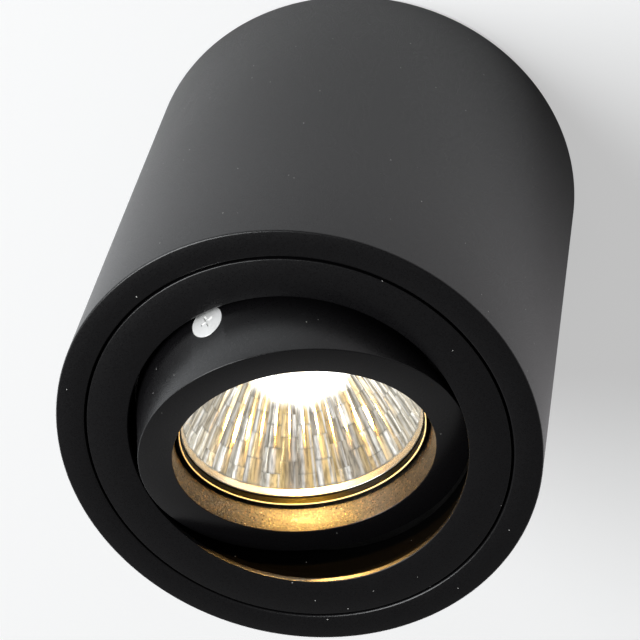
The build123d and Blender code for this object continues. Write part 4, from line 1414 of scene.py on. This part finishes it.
@dataclass
class Studio:
    """The pale ceiling, the lights and the camera.

    Each change, the painted ones too, has two places, in metres, and then the values at them.
    """

    eye: tuple[float, float, float] = (0.0, -0.30102, -0.52086)
    aim: tuple[float, float, float] = (-0.00164, -0.02925, -0.1024)
    middle: tuple[float, float, float] = (0.0, 0.0, -0.06)
    roll: float = 14.74
    lens: float = 148.69
    sensor: float = 36.0
    ceiling_sides: int = 128
    ceiling_reach: float = 3000.0
    ceiling_hole: float = 46.5
    ceiling_gap: float = 0.3
    ceiling_white: float = 0.47
    ceiling_grey: float = 0.55
    # Painted light and shade in what the ceiling mirrors: brighter to the left, dark round the
    # light's case, tinted from left to right
    painted_left_light: tuple[float, ...] = (-0.35, -0.04, 2.3, 1.0)
    painted_far_left_light: tuple[float, ...] = (-1.0, -0.4, 1.5, 1.0)
    painted_contact_shade: tuple[float, ...] = (0.048, 0.110, 0.05, 1.0)
    painted_side_tint: tuple[float, ...] = (-0.2, 0.1, 0.0, 1.0)
    cool: Colour = (0.93, 0.97, 1.0)
    rosy: Colour = (1.0, 0.96, 0.99)
    room_change: tuple[float, ...] = (-0.85, 0.15, 0.07, 0.42)
    softboxes: tuple[Softbox, ...] = (
        Softbox("left_softbox", (-0.85, -0.15, -1.15), 0.9, 18.0, (0.97, 0.99, 1.0)),
        Softbox("low_softbox", (-1.20, -0.40, -0.55), 0.5, 2.5, (0.94, 0.97, 1.0)),
    )

    def build(self) -> None:
        """Set up the whole studio."""
        self.camera()
        self.ceiling()
        self.world()
        for softbox in self.softboxes:
            softbox.hang(Vector(self.middle))
        bpy.context.scene.view_settings.view_transform = "Standard"

    def camera(self) -> None:
        """Place the camera where the photograph was taken from."""
        data = bpy.data.cameras.new("camera")
        data.lens = self.lens
        data.sensor_width = self.sensor
        data.clip_start = 0.01
        camera = linked("camera", data)
        look = (Vector(self.aim) - Vector(self.eye)).to_track_quat("-Z", "Y").to_matrix()
        turn = (look @ Matrix.Rotation(radians(self.roll), 3, "Z")).to_4x4()
        camera.matrix_world = Matrix.Translation(self.eye) @ turn
        bpy.context.scene.camera = camera

    def ceiling(self) -> None:
        """Hang a pale ceiling, with a hole that leaves the light's back in sight."""
        outline = [(self.ceiling_hole, self.ceiling_gap), (self.ceiling_reach, self.ceiling_gap)]
        plane = turned("ceiling", outline, self.ceiling_sides, closed=False)
        if plane.data.polygons[0].normal.z > 0:
            plane.data.flip_normals()
        finish(plane, self.ceiling_paint())

    def ceiling_paint(self) -> Paint:
        """Build the ceiling's material, evenly bright to the camera from below and clear from
        above.

        In what shiny surfaces mirror of it, it has painted shade round the light's case, painted
        light towards the left and a painted tint from cool at the left to rosy at the right.

        Returns:
            The material.
        """
        sheet = Sheet("ceiling_paint")
        place = sheet.place()
        across = sheet.add("SeparateXYZ", {0: place}).outputs[0]
        radius = sheet.add("VectorMath", {0: place}, operation="LENGTH").outputs["Value"]
        # Painted shade and light in what is mirrored: dark near the light's case, brighter towards
        # the left
        mirrored = sheet.times(sheet.span(across, *self.painted_left_light),
                               sheet.span(radius, *self.painted_contact_shade))
        mirrored = sheet.times(mirrored, sheet.span(across, *self.painted_far_left_light))
        path = sheet.add("LightPath").outputs
        glossy = path["Is Glossy Ray"]
        strength = sheet.times(self.ceiling_white, sheet.span(glossy, 0.0, 1.0, 1.0, mirrored))
        # Painted tint of the light in what is mirrored: cool at the left, rosy at the right
        tint = sheet.blend(sheet.span(across, *self.painted_side_tint), self.cool, self.rosy)
        glow = sheet.add("Emission", {"Strength": strength,
                                      "Color": sheet.blend(glossy, WHITE, tint)})
        lit = sheet.add("BsdfDiffuse", {"Color": (self.ceiling_grey,) * 3}).outputs[0]
        bright = sheet.add("AddShader", {0: lit, 1: glow.outputs[0]})
        seen = sheet.maths("MAXIMUM", path["Is Camera Ray"],
                           sheet.maths("MAXIMUM", glossy, path["Is Transmission Ray"]))
        shown = sheet.add("MixShader", {0: seen, 1: lit, 2: bright.outputs[0]})
        behind = sheet.add("NewGeometry").outputs["Backfacing"]
        clear = sheet.add("BsdfTransparent")
        sheet.show(sheet.add("MixShader", {0: behind, 1: shown.outputs[0], 2: clear.outputs[0]}))
        sheet.nodes.remove(sheet.shader)
        return sheet.material

    def world(self) -> None:
        """Light everything softly, and show a white background to the camera."""
        world = bpy.data.worlds.new("soft_room")
        bpy.context.scene.world = world
        tree = Tree(world)
        up = tree.add("SeparateXYZ", {0: tree.add("TexCoord").outputs["Generated"]}).outputs["Z"]
        strength = tree.span(up, *self.room_change)
        room = tree.add("Background", {"Color": WHITE, "Strength": strength})
        white = tree.add("Background", {"Color": WHITE})
        seen = tree.add("LightPath").outputs["Is Camera Ray"]
        shown = tree.add("MixShader", {0: seen, 1: room.outputs[0], 2: white.outputs[0]})
        tree.add("OutputWorld", {"Surface": shown.outputs[0]})


def dress_frame() -> None:
    """Give every CAD node that still shows its own finish."""
    zinc = Metal("zinc_plate", (0.62, 0.63, 0.64), 0.32, (0.45, 0.44, 0.40))
    nickel = Metal("bright_nickel", (0.86, 0.84, 0.80), 0.16)
    brass = Metal("turned_brass", (0.78, 0.58, 0.26), 0.22, (0.42, 0.28, 0.10))
    spring = Metal("spring_steel", (0.50, 0.51, 0.54), 0.24)
    black = Metal("black_oxide", (0.035, 0.035, 0.04), 0.38, (0.06, 0.05, 0.05))
    ceramic = Moulding("steatite", (0.80, 0.77, 0.69), 0.55, 0.10, 0.25, 0.02)
    rubber = Moulding("grommet_rubber", (0.03, 0.03, 0.03), 0.62, 0.2, 0.3, 0.02)
    polyamide = Moulding("block_polyamide", (0.78, 0.78, 0.73), 0.42, 0.06, 0.8, 0.006)
    nylon = Moulding("washer_nylon", (0.05, 0.05, 0.05), 0.5)
    earth = Moulding("earth_sleeve", (0.12, 0.36, 0.05), 0.35, 0.08, 0.4, 0.006,
                     stripe=(0.80, 0.68, 0.06))
    finishes = {
        zinc: ("mounting_plate", "terminal_screws", "terminal_fixing_screws", "holder_strap",
               "holder_screws", "holder_nuts"),
        brass: ("earth_stud", "earth_nut", "earth_eyelet", "terminal_tubes", "holder_contacts"),
        spring: ("earth_washer", "trim_springs"),
        nickel: ("spring_rivets", "pivot_pins", "lamp_pins"),
        black: ("tube_screws",),
        ceramic: ("lamp_base", "lampholder"),
        rubber: ("cable_grommet",),
        polyamide: ("terminal_block",),
        nylon: ("friction_washers",),
        earth: ("earth_lead",),
        ClearGlass("quartz", (0.97, 0.97, 0.97)): ("lamp_capsule",),
        Glow("hot_tungsten", (1.0, 0.80, 0.50), 12.0): ("lamp_filament",),
    }
    for look, names in finishes.items():
        material = look.material()
        for name in names:
            finish(frame["nodes"][name], material)


def main() -> None:
    """Build the spotlight piece by piece, then the studio."""
    logging.basicConfig(level=logging.INFO, format="%(name)s: %(message)s")
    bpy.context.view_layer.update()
    axes = Axes.from_joints(frame["joints"])
    coat = PowderCoat("black_powder_coat").material()
    # Painted highlights: light metals on the coat's rounded edges paint the bright lines of light
    # along them
    painted_edge_highlight = Metal("painted_edge_highlights", (0.44, 0.44, 0.45), 0.32, (0.22, 0.22, 0.225)).material()
    bright = Metal("painted_bright_edge_highlights", (0.80, 0.80, 0.81), 0.32, (0.45, 0.45, 0.455)).material()
    painted_dim_edge_highlight = Metal("painted_dim_edge_highlights", (0.22, 0.22, 0.23), 0.34, (0.12, 0.12, 0.125)).material()
    # Painted shade: a near-black coat that reflects almost nothing, on the trim's inner walls where
    # they lie in shade
    painted_shade = PowderCoat("painted_shade_inner_wall", (0.0008, 0.0008, 0.0008), roughness=0.9,
                      level=0.02).material()
    # The bore's coat has painted glints of the lamp's warm light
    sand = PowderCoat("sandy_bore", (0.005, 0.0045, 0.004), grain=0.30, grain_depth=0.05,
                      roughness=0.36, swing=0.15, level=0.8, painted_glint_share=0.36).material()
    nickel = Metal("screw_nickel", (1.0, 1.0, 0.99), 0.38, (0.84, 0.83, 0.80), 0.35).material()
    sleeve = Moulding("lead_silicone", (0.74, 0.74, 0.71), 0.38, 0.08, 0.4, 0.008).material()
    glass_rim = Metal("rim_glass", (0.009, 0.0078, 0.003), 0.30, (0.006, 0.0055, 0.002)).material()
    lamp = Lamp(
        axes,
        mirror=PaintedMirrorReflections("mirror_painted_reflections", axes.lamp, Lamp.columns).material(),
        collar=Metal("bright_collar", (0.76, 0.74, 0.70), 0.24, (0.58, 0.55, 0.50)).material(),
        rim_glass=glass_rim,
        # Painted highlight: the lamp rim's rounded edges glow as bright lines
        glint=Glow("painted_glint_edge", (1.0, 0.80, 0.42), 0.26).material(),
        glass=ClearGlass("cover_glass").material(),
        hot=Glow("quartz_glow", (1.0, 0.95, 0.84), 4.0).material(),
    )
    dress_frame()
    pieces = [
        *Housing(coat, painted_dim_edge_highlight).build(),
        *Trim(axes, coat, bright, painted_shade).build(),
        *TiltingRing(axes, coat, painted_edge_highlight, sand, nickel).build(),
        *Leads(sleeve).build(),
        *lamp.build(),
    ]
    lamp.shine()
    for piece in pieces:
        log.info("%s: %d faces", piece.name, len(piece.data.polygons))
    Studio().build()


if __name__ == "__main__":
    main()
